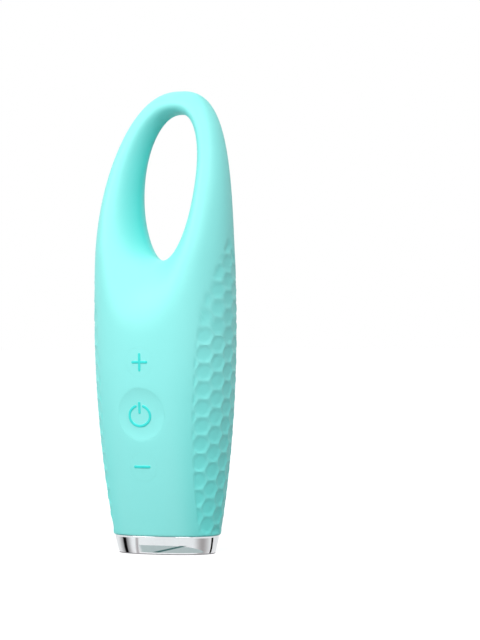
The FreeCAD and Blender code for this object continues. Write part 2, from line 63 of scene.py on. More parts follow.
BLACK, WHITE = (0, 0, 0, 1), (1, 1, 1, 1)
# The display curve: straight up to a limit, then a power
CURVE_LIMIT, CURVE_SLOPE, CURVE_SHIFT, CURVE_POWER = 0.04045, 12.92, 0.055, 2.4
FULL_LEVEL = 255
# Name, height, radius and half the square that is cut for it, of each key
KEY_SIZES = (("plus", 64.4, 5.0, 6.6), ("power", 47.0, 8.7, 10.2), ("minus", 29.6, 5.0, 6.6))
KEYS = tuple(name for name, *_ in KEY_SIZES)
SIDES = ("left", "right")
# Both ends of the silicone's colour, and of its roughness
AQUA = ((146, 238, 234), (140, 234, 230), 0.44, 0.54)


def linear(colour: Colour) -> tuple[float, float, float, float]:
    """Turn a display colour into scene values.

    Args:
        colour: red, green and blue from 0 to 255, as a screen shows them.

    Returns:
        The linear colour with full alpha.
    """
    share = np.asarray(colour, float) / FULL_LEVEL
    low = share / CURVE_SLOPE
    high = ((share + CURVE_SHIFT) / (1 + CURVE_SHIFT)) ** CURVE_POWER
    return (*np.where(share <= CURVE_LIMIT, low, high).tolist(), 1.0)


def each(places: tuple[str, ...], part: str) -> tuple[str, ...]:
    """Names of the part that there is at each place."""
    return tuple(f"{place}_{part}" for place in places)


def ease(share: np.ndarray) -> np.ndarray:
    """Go smoothly from 0 to 1 as the share does, flat at both ends."""
    held = np.clip(share, 0, 1)
    return held * held * (3 - 2 * held)


def signed_power(value: np.ndarray, power: float | np.ndarray) -> np.ndarray:
    """Raise sizes to a power and keep their signs, as superellipses need."""
    return np.sign(value) * np.abs(value) ** power


def grid_faces(rows: int, columns: int, closed: bool) -> np.ndarray:
    """Corners of the faces of a grid of points.

    Args:
        rows: how many rows of points.
        columns: how many points in a row.
        closed: whether each row joins up with its own start.

    Returns:
        Indices of points, by row, column and corner.
    """
    row = np.arange(rows - 1)[:, None]
    column = np.arange(columns if closed else columns - 1)[None, :]
    here = row * columns + column
    beside = row * columns + (column + 1) % columns
    return np.stack([here, beside, beside + columns, here + columns], -1)


def show(name: str, data: bpy.types.ID) -> bpy.types.Object:
    """Put a mesh, a lamp or a camera into the scene.

    Args:
        name: the new object's name.
        data: what it holds.

    Returns:
        The new object, at the origin.
    """
    piece = bpy.data.objects.new(name, data)
    bpy.context.scene.collection.objects.link(piece)
    return piece


def mark_points(mesh: bpy.types.Mesh, name: str, values: np.ndarray) -> None:
    """Store a number at each point of a mesh, for its material to read."""
    mesh.attributes.new(name, "FLOAT", "POINT").data.foreach_set("value", values.astype(np.float32))


def new_material(name: str) -> tuple[bpy.types.Material, bpy.types.NodeTree, bpy.types.Node]:
    """Start a material.

    Args:
        name: its name.

    Returns:
        The material, its nodes and its shader.
    """
    material = bpy.data.materials.new(name)
    material.use_nodes = True
    return material, material.node_tree, material.node_tree.nodes["Principled BSDF"]


def add_node(tree: bpy.types.NodeTree, kind: str, operation: str = "") -> bpy.types.Node:
    """Add a shader node.

    Args:
        tree: the nodes that it joins.
        kind: the end of its type's name.
        operation: what it works out, for the kinds that have a choice.

    Returns:
        The new node.
    """
    node = tree.nodes.new(f"ShaderNode{kind}")
    if operation:
        node.operation = operation
    return node


def set_inputs(node: bpy.types.Node, values: dict[str, float | tuple[float, ...]]) -> None:
    """Set the inputs of a node that are named."""
    for name, value in values.items():
        node.inputs[name].default_value = value


def wire(tree: bpy.types.NodeTree, *pairs: tuple[bpy.types.NodeSocket, bpy.types.NodeSocket]) -> None:
    """Link pairs of sockets, each from an output to an input."""
    for start, end in pairs:
        tree.links.new(start, end)


class Grain(Enum):
    """The kinds of surface detail that the finishes share."""

    MOULDED = "moulded_grain"
    METAL = "metal_marks"
    CELLS = "open_cells"
    WEAVE = "board_weave"


class GrainGroups:
    """Builds each shared surface effect once, as a shader node group."""

    inputs = {"Colour": "Color", "Shade": "Color", "Fine": "Float", "Broad": "Float",
              "Smooth": "Float", "Rough": "Float"}
    outputs = {"Colour": "Color", "Roughness": "Float", "Height": "Float"}
    broad_detail = 3
    fine_detail = {Grain.MOULDED: 2, Grain.METAL: 6}
    broad_share = 0.6
    fine_share = 0.4
    weave_bend = 1.5

    def __init__(self) -> None:
        """Start with no group made."""
        self.made: dict[Grain, bpy.types.NodeTree] = {}

    def get(self, grain: Grain) -> bpy.types.NodeTree:
        """The group for a kind of detail, made on first use.

        Args:
            grain: the kind of detail.

        Returns:
            The node group.
        """
        if grain not in self.made:
            self.made[grain] = self.build(grain)
        return self.made[grain]

    def build(self, grain: Grain) -> bpy.types.NodeTree:
        """Make a group that turns a place into a colour, a roughness and a height.

        Fine detail gives the height. Broad noise and a share of the fine detail make a drift, which moves
        the colour and the roughness between their two ends.

        Args:
            grain: the kind of detail.

        Returns:
            The node group.
        """
        tree = bpy.data.node_groups.new(grain.value, "ShaderNodeTree")
        for way, sockets in (("INPUT", self.inputs), ("OUTPUT", self.outputs)):
            for name, kind in sockets.items():
                tree.interface.new_socket(name, in_out=way, socket_type=f"NodeSocket{kind}")
        given, out = tree.nodes.new("NodeGroupInput"), tree.nodes.new("NodeGroupOutput")
        place, broad = add_node(tree, "TexCoord"), add_node(tree, "TexNoise")
        mix, spread = add_node(tree, "Mix"), add_node(tree, "MapRange")
        part, drift = add_node(tree, "Math", "MULTIPLY"), add_node(tree, "Math", "MULTIPLY_ADD")
        fine, detail = self.fine(grain, tree)
        broad.inputs["Detail"].default_value = self.broad_detail
        part.inputs[1].default_value = self.fine_share
        drift.inputs[1].default_value = self.broad_share
        mix.data_type = "RGBA"
        wire(
            tree,
            (place.outputs["Object"], broad.inputs["Vector"]),
            (given.outputs["Broad"], broad.inputs["Scale"]),
            (place.outputs["Object"], fine.inputs["Vector"]),
            (given.outputs["Fine"], fine.inputs["Scale"]),
            (detail, part.inputs[0]),
            (broad.outputs["Fac"], drift.inputs[0]),
            (part.outputs[0], drift.inputs[2]),
            (drift.outputs[0], mix.inputs["Factor"]),
            (given.outputs["Colour"], mix.inputs["A"]),
            (given.outputs["Shade"], mix.inputs["B"]),
            (drift.outputs[0], spread.inputs["Value"]),
            (given.outputs["Smooth"], spread.inputs["To Min"]),
            (given.outputs["Rough"], spread.inputs["To Max"]),
            (mix.outputs["Result"], out.inputs["Colour"]),
            (spread.outputs["Result"], out.inputs["Roughness"]),
            (detail, out.inputs["Height"]),
        )
        return tree

    def fine(self, grain: Grain, tree: bpy.types.NodeTree) -> tuple[bpy.types.Node, bpy.types.NodeSocket]:
        """The node that makes a group's fine detail.

        Args:
            grain: the kind of detail.
            tree: the group that gets the node.

        Returns:
            The node, and its output.
        """
        if grain is Grain.CELLS:
            node = add_node(tree, "TexVoronoi")
            return node, node.outputs["Distance"]
        if grain is Grain.WEAVE:
            node = add_node(tree, "TexWave")
            node.inputs["Distortion"].default_value = self.weave_bend
            return node, node.outputs["Fac"]
        node = add_node(tree, "TexNoise")
        node.inputs["Detail"].default_value = self.fine_detail[grain]
        return node, node.outputs["Fac"]


@dataclass(frozen=True)
class Finish:
    """One finish: two ends of its colour, its roughness and the detail that it carries."""

    slot: str
    colour: Colour
    shade: Colour
    smooth: float
    rough: float
    grain: Grain = Grain.MOULDED
    fine: float = 3200.0
    broad: float = 60.0
    bump: float = 0.00002
    metallic: float = 0.0
    specular: float = 0.5
    coat: float = 0.0
    # The colour of painted shade, mixed in where the mesh's mark says, if any
    deep: Colour | None = None
    nodes: tuple[str, ...] = ()

    def material(self, name: str, groups: GrainGroups) -> bpy.types.Material:
        """Make the material.

        Args:
            name: the material's name.
            groups: the shared effects.

        Returns:
            The new material.
        """
        material, tree, shader = new_material(name)
        effect, bump = add_node(tree, "Group"), add_node(tree, "Bump")
        effect.node_tree = groups.get(self.grain)
        set_inputs(effect, {"Colour": linear(self.colour), "Shade": linear(self.shade), "Fine": self.fine,
                            "Broad": self.broad, "Smooth": self.smooth, "Rough": self.rough})
        set_inputs(bump, {"Distance": self.bump})
        set_inputs(shader, {"Metallic": self.metallic, "Specular IOR Level": self.specular,
                            "Coat Weight": self.coat})
        # Painted shade is mixed in where the finish has a colour for it
        colour = self.add_painted_shade(tree, effect.outputs["Colour"]) if self.deep else effect.outputs["Colour"]
        wire(
            tree,
            (colour, shader.inputs["Base Color"]),
            (effect.outputs["Roughness"], shader.inputs["Roughness"]),
            (effect.outputs["Height"], bump.inputs["Height"]),
            (bump.outputs["Normal"], shader.inputs["Normal"]),
        )
        return material

    def add_painted_shade(self, tree: bpy.types.NodeTree, colour: bpy.types.NodeSocket) -> bpy.types.NodeSocket:
        """Paint shade into a colour: deepen it where the mesh's painted shade mark is high.

        Args:
            tree: the material's nodes.
            colour: the colour in the open.

        Returns:
            The colour with the painted shade's colour mixed in.
        """
        mark, mix = add_node(tree, "Attribute"), add_node(tree, "Mix")
        mark.attribute_name = PAINTED_SHADE
        mix.data_type = "RGBA"
        mix.inputs["B"].default_value = linear(self.deep)
        wire(tree, (mark.outputs["Fac"], mix.inputs["Factor"]), (colour, mix.inputs["A"]))
        return mix.outputs["Result"]


@dataclass
class Wardrobe:
    """Every finish of the object, and the CAD nodes that wear it."""

    groups: GrainGroups = field(default_factory=GrainGroups)
    made: dict[str, bpy.types.Material] = field(default_factory=dict)
    finishes: dict[str, Finish] = field(default_factory=lambda: {
        # The silicone's deep colour is painted shade, which the sleeve's mark mixes in
        "aqua_silicone": Finish("silicone", *AQUA, specular=0.4, deep=(84, 228, 222)),
        "aqua_key": Finish("key_silicone", *AQUA, specular=0.4),
        "teal_sign": Finish(
            "key_silicone", (66, 229, 223), (58, 219, 213), 0.5, 0.6, fine=5200.0, specular=0.25,
        ),
        "bright_plate": Finish(
            "chrome", (232, 232, 234), (218, 219, 222), 0.03, 0.09, Grain.METAL, 900.0, 90.0, 0.000002,
            metallic=1.0,
        ),
        "core_plastic": Finish(
            "core_plastic", (226, 228, 226), (206, 209, 208), 0.42, 0.6, fine=2400.0,
            nodes=("core_front", "core_rear", *each(KEYS, "plunger")),
        ),
        "spine_plastic": Finish(
            "spine_plastic", (216, 220, 210), (190, 196, 188), 0.4, 0.55, fine=1800.0, nodes=("loop_spine",),
        ),
        "black_plastic": Finish(
            "black_plastic", (34, 35, 37), (22, 22, 24), 0.3, 0.5, fine=2600.0,
            nodes=("charge_jack", "lead_sockets", *each(KEYS, "switch"), *each(KEYS, "switch_stem")),
        ),
        "board_mask": Finish(
            "board", (24, 112, 62), (12, 78, 44), 0.25, 0.45, Grain.WEAVE, 700.0, 240.0, 0.00003,
            coat=0.3, nodes=("circuit_board",),
        ),
        "chip_case": Finish(
            "component", (48, 47, 50), (30, 30, 33), 0.45, 0.65, fine=4200.0,
            nodes=("control_chip", "charge_chip", "board_passives"),
        ),
        "lamp_lens": Finish(
            "led", (244, 240, 214), (228, 221, 184), 0.12, 0.25, broad=400.0, coat=0.5,
            nodes=("indicator_leds",),
        ),
        "seal_rubber": Finish(
            "seal_rubber", (52, 54, 56), (36, 37, 40), 0.62, 0.8, fine=2200.0,
            nodes=("foot_gasket", "jack_seal", *each(SIDES, "motor_boot")),
        ),
        "open_foam": Finish(
            "foam", (92, 94, 98), (62, 64, 68), 0.85, 0.98, Grain.CELLS, 1600.0, 180.0, 0.0002,
        ),
        "cell_wrap": Finish(
            "battery", (60, 122, 178), (44, 98, 152), 0.28, 0.42, fine=900.0, coat=0.2,
            nodes=("battery_cell",),
        ),
        "screw_steel": Finish(
            "steel", (186, 188, 192), (150, 152, 158), 0.22, 0.42, Grain.METAL, 2600.0, 300.0, 0.00001,
            metallic=1.0,
            nodes=("core_screws", "board_screws", "battery_terminal", *each(SIDES, "motor"),
                   *each(SIDES, "motor_shaft")),
        ),
        "weight_brass": Finish(
            "brass", (206, 172, 104), (168, 134, 76), 0.25, 0.45, Grain.METAL, 2200.0, 260.0, 0.00001,
            metallic=1.0, nodes=each(SIDES, "eccentric_weight"),
        ),
        "lead_cover": Finish(
            "lead_cover", (176, 44, 40), (128, 28, 28), 0.4, 0.55, fine=1600.0,
            nodes=("motor_leads", "battery_leads", "jack_leads"),
        ),
    })

    def material(self, name: str) -> bpy.types.Material:
        """The material of a finish, made on first use.

        Args:
            name: the finish.

        Returns:
            The material.
        """
        if name not in self.made:
            self.made[name] = self.finishes[name].material(name, self.groups)
        return self.made[name]

    def wear(self, mesh: bpy.types.Mesh, name: str) -> None:
        """Give a mesh the material of a finish, and no other."""
        mesh.materials.clear()
        mesh.materials.append(self.material(name))

    def dress(self, piece: bpy.types.Object, name: str) -> bpy.types.Object:
        """Give a new piece its finish.

        Args:
            piece: the piece.
            name: the finish.

        Returns:
            The same piece.
        """
        self.wear(piece.data, name)
        return piece

    def dress_nodes(self) -> int:
        """Give every CAD node that stays its finish.

        Returns:
            How many nodes were dressed.
        """
        worn = [(node, name) for name, finish in self.finishes.items() for node in finish.nodes]
        for node, name in worn:
            self.wear(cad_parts[node].data, name)
        return len(worn)


def seat(piece: bpy.types.Object, body: str, *nodes: str) -> bpy.types.Object:
    """Set a new piece on its CAD body, in place of some CAD nodes.

    Args:
        piece: the piece.
        body: the body that it moves with.
        nodes: the CAD nodes that it stands for.

    Returns:
        The same piece.
    """
    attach(piece, body)
    if nodes:
        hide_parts(*nodes)
    LOG.info("%s rides on %s", piece.name, body)
    return piece


class Face(Enum):
    """Which sheet of the sleeve a point lies on."""

    FRONT = -1
    BACK = 1


@dataclass(frozen=True)
class Form:
    """The sleeve's outer form, with the same sizes as the CAD solid."""

    height: float = 156.0
    half_width: float = 24.9
    widest: float = 84.0
    half_depth: float = 18.0
    deepest: float = 66.0
    rim: float = 6.3
    rim_half_width: float = 19.1
    rim_half_depth: float = 11.8
    top_lean: float = 11.8
    lean_start: float = 100.0
    lean_power: float = 1.75
    section_power: float = 2.25
    arch_power: float = 2.48
    depth_power: float = 2.06
    dish_height: float = 47.0
    dish_radius: float = 8.9
    dish_depth: float = 0.6
    dish_power: float = 3.6
    dish_softness: float = 0.05
    dish_far: float = 1.5
    slope_step: float = 0.05
    least_half: float = 0.5

    def bulge(self, z: np.ndarray, most: float, rim: float, level: float, power: float) -> np.ndarray:
        """Half size at a height: a parabola below its level, a superellipse arch above it.

        Args:
            z: heights.
            most: the greatest half size.
            rim: the half size at the lower rim.
            level: the height of the greatest half size.
            power: the arch's superellipse power.

        Returns:
            The half size at each height.
        """
        below = most - (most - rim) * ((level - z) / (level - self.rim)) ** 2
        climb = np.clip((z - level) / (self.height - level), 0, 1)
        above = most * (1 - climb**power) ** (1 / power)
        return np.where(z <= level, below, above)

    def width(self, z: np.ndarray) -> np.ndarray:
        """Half width at each height."""
        return self.bulge(z, self.half_width, self.rim_half_width, self.widest, self.arch_power)

    def depth(self, z: np.ndarray) -> np.ndarray:
        """Half depth at each height."""
        return self.bulge(z, self.half_depth, self.rim_half_depth, self.deepest, self.depth_power)

    def lean(self, z: np.ndarray) -> np.ndarray:
        """How far the middle of the form is set back at each height."""
        climb = np.clip((z - self.lean_start) / (self.height - self.lean_start), 0, 1)
        return self.top_lean * climb**self.lean_power

    def swell(self, x: np.ndarray, z: np.ndarray, inset: float = 0.0) -> np.ndarray:
        """Depth of the section at a point, b (1 - |x / a|^n)^(1 / n).

        Args:
            x: places across.
            z: heights.
            inset: how far both half sizes, a and b, are drawn in.

        Returns:
            The depth at each point.
        """
        across = np.abs(x) / np.maximum(self.width(z) - inset, TINY)
        left = np.clip(1 - across**self.section_power, 0, 1)
        return np.maximum(self.depth(z) - inset, 0) * left ** (1 / self.section_power)

    def dish(self, x: np.ndarray, z: np.ndarray) -> np.ndarray:
        """Depth of the power key's dish: flat in its middle, 1 - r^p, and softly joined to the face.

        Args:
            x: places across.
            z: heights.

        Returns:
            The depth at each point.
        """
        away = np.hypot(x, z - self.dish_height) / self.dish_radius
        sunk = self.dish_depth * (1 - np.minimum(away, self.dish_far) ** self.dish_power) / self.dish_softness
        return self.dish_softness * np.logaddexp(0, sunk)

    def front(self, x: np.ndarray, z: np.ndarray) -> np.ndarray:
        """The y of the front face below the loop, with the dish in it."""
        return self.lean(z) - self.swell(x, z) + self.dish(x, z)

    def inside(self, x: np.ndarray, z: np.ndarray, inset: float) -> np.ndarray:
        """The y of the sleeve's inner wall at the front."""
        return self.lean(z) - self.swell(x, z, inset)

    def outward(self, points: np.ndarray) -> np.ndarray:
        """Outward normals of the form.

        The gradient of |x / a|^n + |(y - lean) / b|^n, with the slopes of a and b taken over a short step.

        Args:
            points: points on the form, x, y and z last.

        Returns:
            Unit vectors, in the same layout.
        """
        step = self.slope_step
        x, y, z = np.moveaxis(points, -1, 0)
        a, b = (np.maximum(size, self.least_half) for size in (self.width(z), self.depth(z)))
        grow_a = (self.width(z + step) - self.width(z - step)) / (2 * step)
        grow_b = (self.depth(z + step) - self.depth(z - step)) / (2 * step)
        tilt = (self.lean(z + step) - self.lean(z - step)) / (2 * step)
        off = y - self.lean(z)
        n = self.section_power
        over_x, over_y = np.abs(x) / a, np.abs(off) / b
        along_x = np.sign(x) * over_x ** (n - 1) / a
        along_y = np.sign(off) * over_y ** (n - 1) / b
        along_z = -(over_x**n) * grow_a / a - over_y**n * grow_b / b - along_y * tilt
        normal = np.stack([along_x, along_y, along_z], -1)
        return normal / np.maximum(np.linalg.norm(normal, axis=-1, keepdims=True), TINY)


@dataclass(frozen=True)
class Grip:
    """The dimpled grip on each side, cut off along a curve.

    Its cells stand in upright columns, every other one half a step higher, so that six lie round each.
    """

    form: Form
    column: float = 5.2
    rise: float = 6.0
    even_start: float = 49.05
    odd_start: float = 46.05
    shift: float = 1.6
    reach: float = 3.5
    depth: float = 0.9
    level: float = 0.45
    crown: float = 0.74
    flatness: float = 2.4
    sharpness: float = 1.4
    spread: float = 15.2
    straight_low: float = 50.0
    straight_high: float = 56.0
    tip_climb: float = 49.5
    tip_power: float = 2.6
    narrowing: float = 5.9
    narrowing_drop: float = 43.0
    fade: float = 0.7
    rim_gap: float = 0.5
    most_tip: float = 1.2
    most_narrowing: float = 2.0
    below_rim: float = 1.0
    least_half: float = 0.1
    least_arc: float = 1.0
    quarter: float = 33.0
    table_steps: int = 240

    def edge(self, z: np.ndarray) -> np.ndarray:
        """How far from the side line the grip reaches.

        It is even in a middle stretch, comes to a point above it by a power of the climb, and narrows below
        it by the square of the drop.

        Args:
            z: heights.

        Returns:
            The reach at each height.
        """
        up = np.clip((z - self.straight_high) / self.tip_climb, 0, self.most_tip) ** self.tip_power
        down = np.clip((self.straight_low - z) / self.narrowing_drop, 0, self.most_narrowing) ** 2
        return self.spread * (1 - up) - self.narrowing * down

    def around(self, points: np.ndarray) -> np.ndarray:
        """Distance along the section from the side line, plus towards the front.

        Lengths of arc come from a table over the section's angle and the height, and between them they are
        interpolated both ways. Towards the foot they stretch with the square root of the section's size.

        Args:
            points: points on the form, x, y and z last.

        Returns:
            The distance at each point.
        """
        form = self.form
        power = 2 / form.section_power
        angle = np.linspace(0, math.pi / 2, self.table_steps)
        level = np.linspace(form.rim - self.below_rim, form.height, self.table_steps)[:, None]
        right, ahead = form.width(level) * np.cos(angle) ** power, form.depth(level) * np.sin(angle) ** power
        run = np.stack([right, ahead], -1)
        steps = np.linalg.norm(np.diff(run, axis=1), axis=-1)
        table = np.concatenate([np.zeros((self.table_steps, 1)), np.cumsum(steps, axis=1)], axis=1)
        table *= np.sqrt(self.quarter / np.maximum(table[:, -1:], self.least_arc))
        x, y, z = np.moveaxis(points, -1, 0)
        off = y - form.lean(z)
        over_x = (np.abs(x) / np.maximum(form.width(z), self.least_half)) ** (1 / power)
        over_y = (np.abs(off) / np.maximum(form.depth(z), self.least_half)) ** (1 / power)
        column = np.arctan2(over_y, over_x) / (math.pi / 2) * (self.table_steps - 1)
        row = np.clip((z - level[0]) / (level[-1] - level[0]), 0, 1) * (self.table_steps - 1)
        c, r = (np.minimum(place.astype(int), self.table_steps - 2) for place in (column, row))
        u, v = column - c, row - r
        low = table[r, c] * (1 - u) + table[r, c + 1] * u
        high = table[r + 1, c] * (1 - u) + table[r + 1, c + 1] * u
        return np.where(off > 0, -1, 1) * (low * (1 - v) + high * v)

    def sink(self, points: np.ndarray) -> np.ndarray:
        """How deep each point is let in.

        Each cell is a bowl about its centre, its floor flattened by a power. A soft minimum of the squared
        distances to the nine nearest centres joins the bowls in rounded ridges, about level with the form,
        and the whole fades out at the grip's edge.

        Args:
            points: points on the form, x, y and z last.

        Returns:
            Depths along the inward normal.
        """
        s, z = self.around(points), points[..., 2]
        shown = ease((self.edge(z) - np.abs(s)) / self.fade) * ease(z - self.form.rim - self.rim_gap)
        s = s + self.shift
        own = np.floor(s / self.column)
        total = np.zeros_like(s)
        for beside in (-1, 0, 1):
            column = own + beside
            start = np.where(column % 2 == 0, self.even_start, self.odd_start)
            nearest = np.round((z - start) / self.rise)
            for above in (-1, 0, 1):
                up = z - start - (nearest + above) * self.rise
                total += np.exp(-self.sharpness * ((s - (column + 0.5) * self.column) ** 2 + up**2))
        near = np.clip(-np.log(total) / self.sharpness / self.reach**2, 0, self.crown)
        return self.depth * shown * (self.level - near**self.flatness)

    def press(self, points: np.ndarray) -> np.ndarray:
        """Let the dimples into points of the form, along the inward normal."""
        return points - self.form.outward(points) * self.sink(points)[..., None]


class Patchwork:
    """Collects grids of points and welds them into one skin."""

    digits = 4

    def __init__(self, name: str) -> None:
        """Start an empty skin.

        Args:
            name: the name of the piece that it becomes.
        """
        self.name = name
        self.points: list[np.ndarray] = []
        self.faces: list[np.ndarray] = []
        self.count = 0

    def add(self, grid: np.ndarray, closed: bool = True, keep: np.ndarray | None = None) -> None:
        """Add a grid of points.

        Args:
            grid: rows of points, x, y and z last.
            closed: whether each row joins up with its own start.
            keep: which faces of the grid are made, all of them if not given.
        """
        quads = grid_faces(*grid.shape[:2], closed)
        quads = quads.reshape(-1, 4) if keep is None else quads[keep]
        self.points.append(grid.reshape(-1, 3))
        self.faces.append(quads + self.count)
        self.count += grid.shape[0] * grid.shape[1]

    def welded(self) -> tuple[np.ndarray, list[list[int]]]:
        """Join equal points and drop what collapses.

        Returns:
            The points that are used, and the faces as lists of their corners.
        """
        points, quads = np.concatenate(self.points), np.concatenate(self.faces)
        near = np.round(points, self.digits)
        _, first, index = np.unique(near, axis=0, return_index=True, return_inverse=True)
        quads = index.reshape(-1)[quads]
        repeated = quads == np.roll(quads, -1, axis=1)
        whole = quads[~repeated.any(axis=1)]
        pinched = repeated.sum(axis=1) == 1
        triangles = quads[pinched][~repeated[pinched]].reshape(-1, 3)
        used = np.unique(np.concatenate([whole.ravel(), triangles.ravel()]))
        place = np.zeros(len(first), int)
        place[used] = np.arange(len(used))
        return points[first][used], place[whole].tolist() + place[triangles].tolist()

    def build(self, crease: float = 40.0) -> bpy.types.Object:
        """Make the mesh, with its faces outwards and smooth up to a crease.

        Args:
            crease: the angle in degrees past which an edge stays sharp.

        Returns:
            The new object, in the scene.
        """
        points, faces = self.welded()
        mesh = bpy.data.meshes.new(self.name)
        mesh.from_pydata((points * MM).tolist(), [], faces)
        shell = bmesh.new()
        shell.from_mesh(mesh)
        bmesh.ops.recalc_face_normals(shell, faces=shell.faces)
        open_edges = sum(not edge.is_manifold for edge in shell.edges)
        shell.to_mesh(mesh)
        shell.free()
        mesh.shade_smooth()
        mesh.set_sharp_from_angle(angle=math.radians(crease))
        LOG.info("%s: %d points, %d faces, %d open edges", self.name, len(points), len(faces), open_edges)
        return show(self.name, mesh)


@dataclass(frozen=True)
class KeySpot:
    """Where a key sits on the front, and the square of sleeve that is cut for it."""

    name: str
    height: float
    radius: float
    square: float
    pad_back: float

    @property
    def body(self) -> str:
        """The CAD body that moves with the key."""
        return f"{self.name}_button"


@dataclass(frozen=True)
class EyeOpening:
    """The loop's egg-shaped opening, and how the form rounds into it."""

    form: Form
    half_width: float = 11.62
    widest: float = 123.38
    upper: float = 24.6
    lower: float = 25.05
    upper_power: float = 2.25
    lower_power: float = 2.0
    mouth_power: float = 2.16
    side_round: float = 10.5
    top_round: float = 7.2
    bottom_round: float = 25.7
    round_power: float = 2.0
    set_back: float = 2.04
    tilt: float = 0.046
    droop: float = 1.7
    droop_power: float = 4.0
    digits: int = 9

    def egg(self, x: np.ndarray, z: np.ndarray, rounds: Triple, low_power: float) -> np.ndarray:
        """How many times farther from the middle than an egg's edge a point lies on its ray.

        Args:
            x: places across.
            z: heights.
            rounds: how far outside the opening's side, top and bottom the egg lies.
            low_power: the superellipse power of its lower half.

        Returns:
            The share of each point, one on the edge.
        """
        side, top, bottom = rounds
        up = z - self.widest
        tall = np.where(up > 0, self.upper + top, self.lower + bottom)
        power = np.where(up > 0, self.upper_power, low_power)
        wide = self.half_width + side
        return ((np.abs(x) / wide) ** power + (np.abs(up) / tall) ** power) ** (1 / power)

    def size(self, x: np.ndarray, z: np.ndarray) -> np.ndarray:
        """The share of each point by the opening's own edge."""
        return self.egg(x, z, (0, 0, 0), self.lower_power)

    def rounding(self, x: np.ndarray, z: np.ndarray) -> np.ndarray:
        """The share of the form's depth that each point keeps, none at the opening's edge.

        Along each ray from the middle the depth falls as a superellipse quarter, from a larger egg round the
        opening to the opening's edge.

        Args:
            x: places across.
            z: heights.

        Returns:
            The share of each point.
        """
        rounds = (self.side_round, self.top_round, self.bottom_round)
        edge = 1 / np.maximum(self.size(x, z), TINY)
        mouth = 1 / np.maximum(self.egg(x, z, rounds, self.mouth_power), TINY)
        left = np.round(np.clip((mouth - 1) / (mouth - edge), 0, 1), self.digits)
        return (1 - left**self.round_power) ** (1 / self.round_power)

    def sheet(self, face: Face, x: np.ndarray, z: np.ndarray) -> np.ndarray:
        """The y of one side of the form, rounded into the opening.

        The edge itself lies a little behind the middle of the form, least so at its lower tip.

        Args:
            face: the front or the back.
            x: places across.
            z: heights.

        Returns:
            The y of each point.
        """
        share = self.rounding(x, z)
        low = np.clip((self.widest - z) / self.lower, 0, 1)
        waist = self.set_back + self.tilt * (z - self.widest) - self.droop * low**self.droop_power
        return self.form.lean(z) + waist * (1 - share) + face.value * self.form.swell(x, z) * share


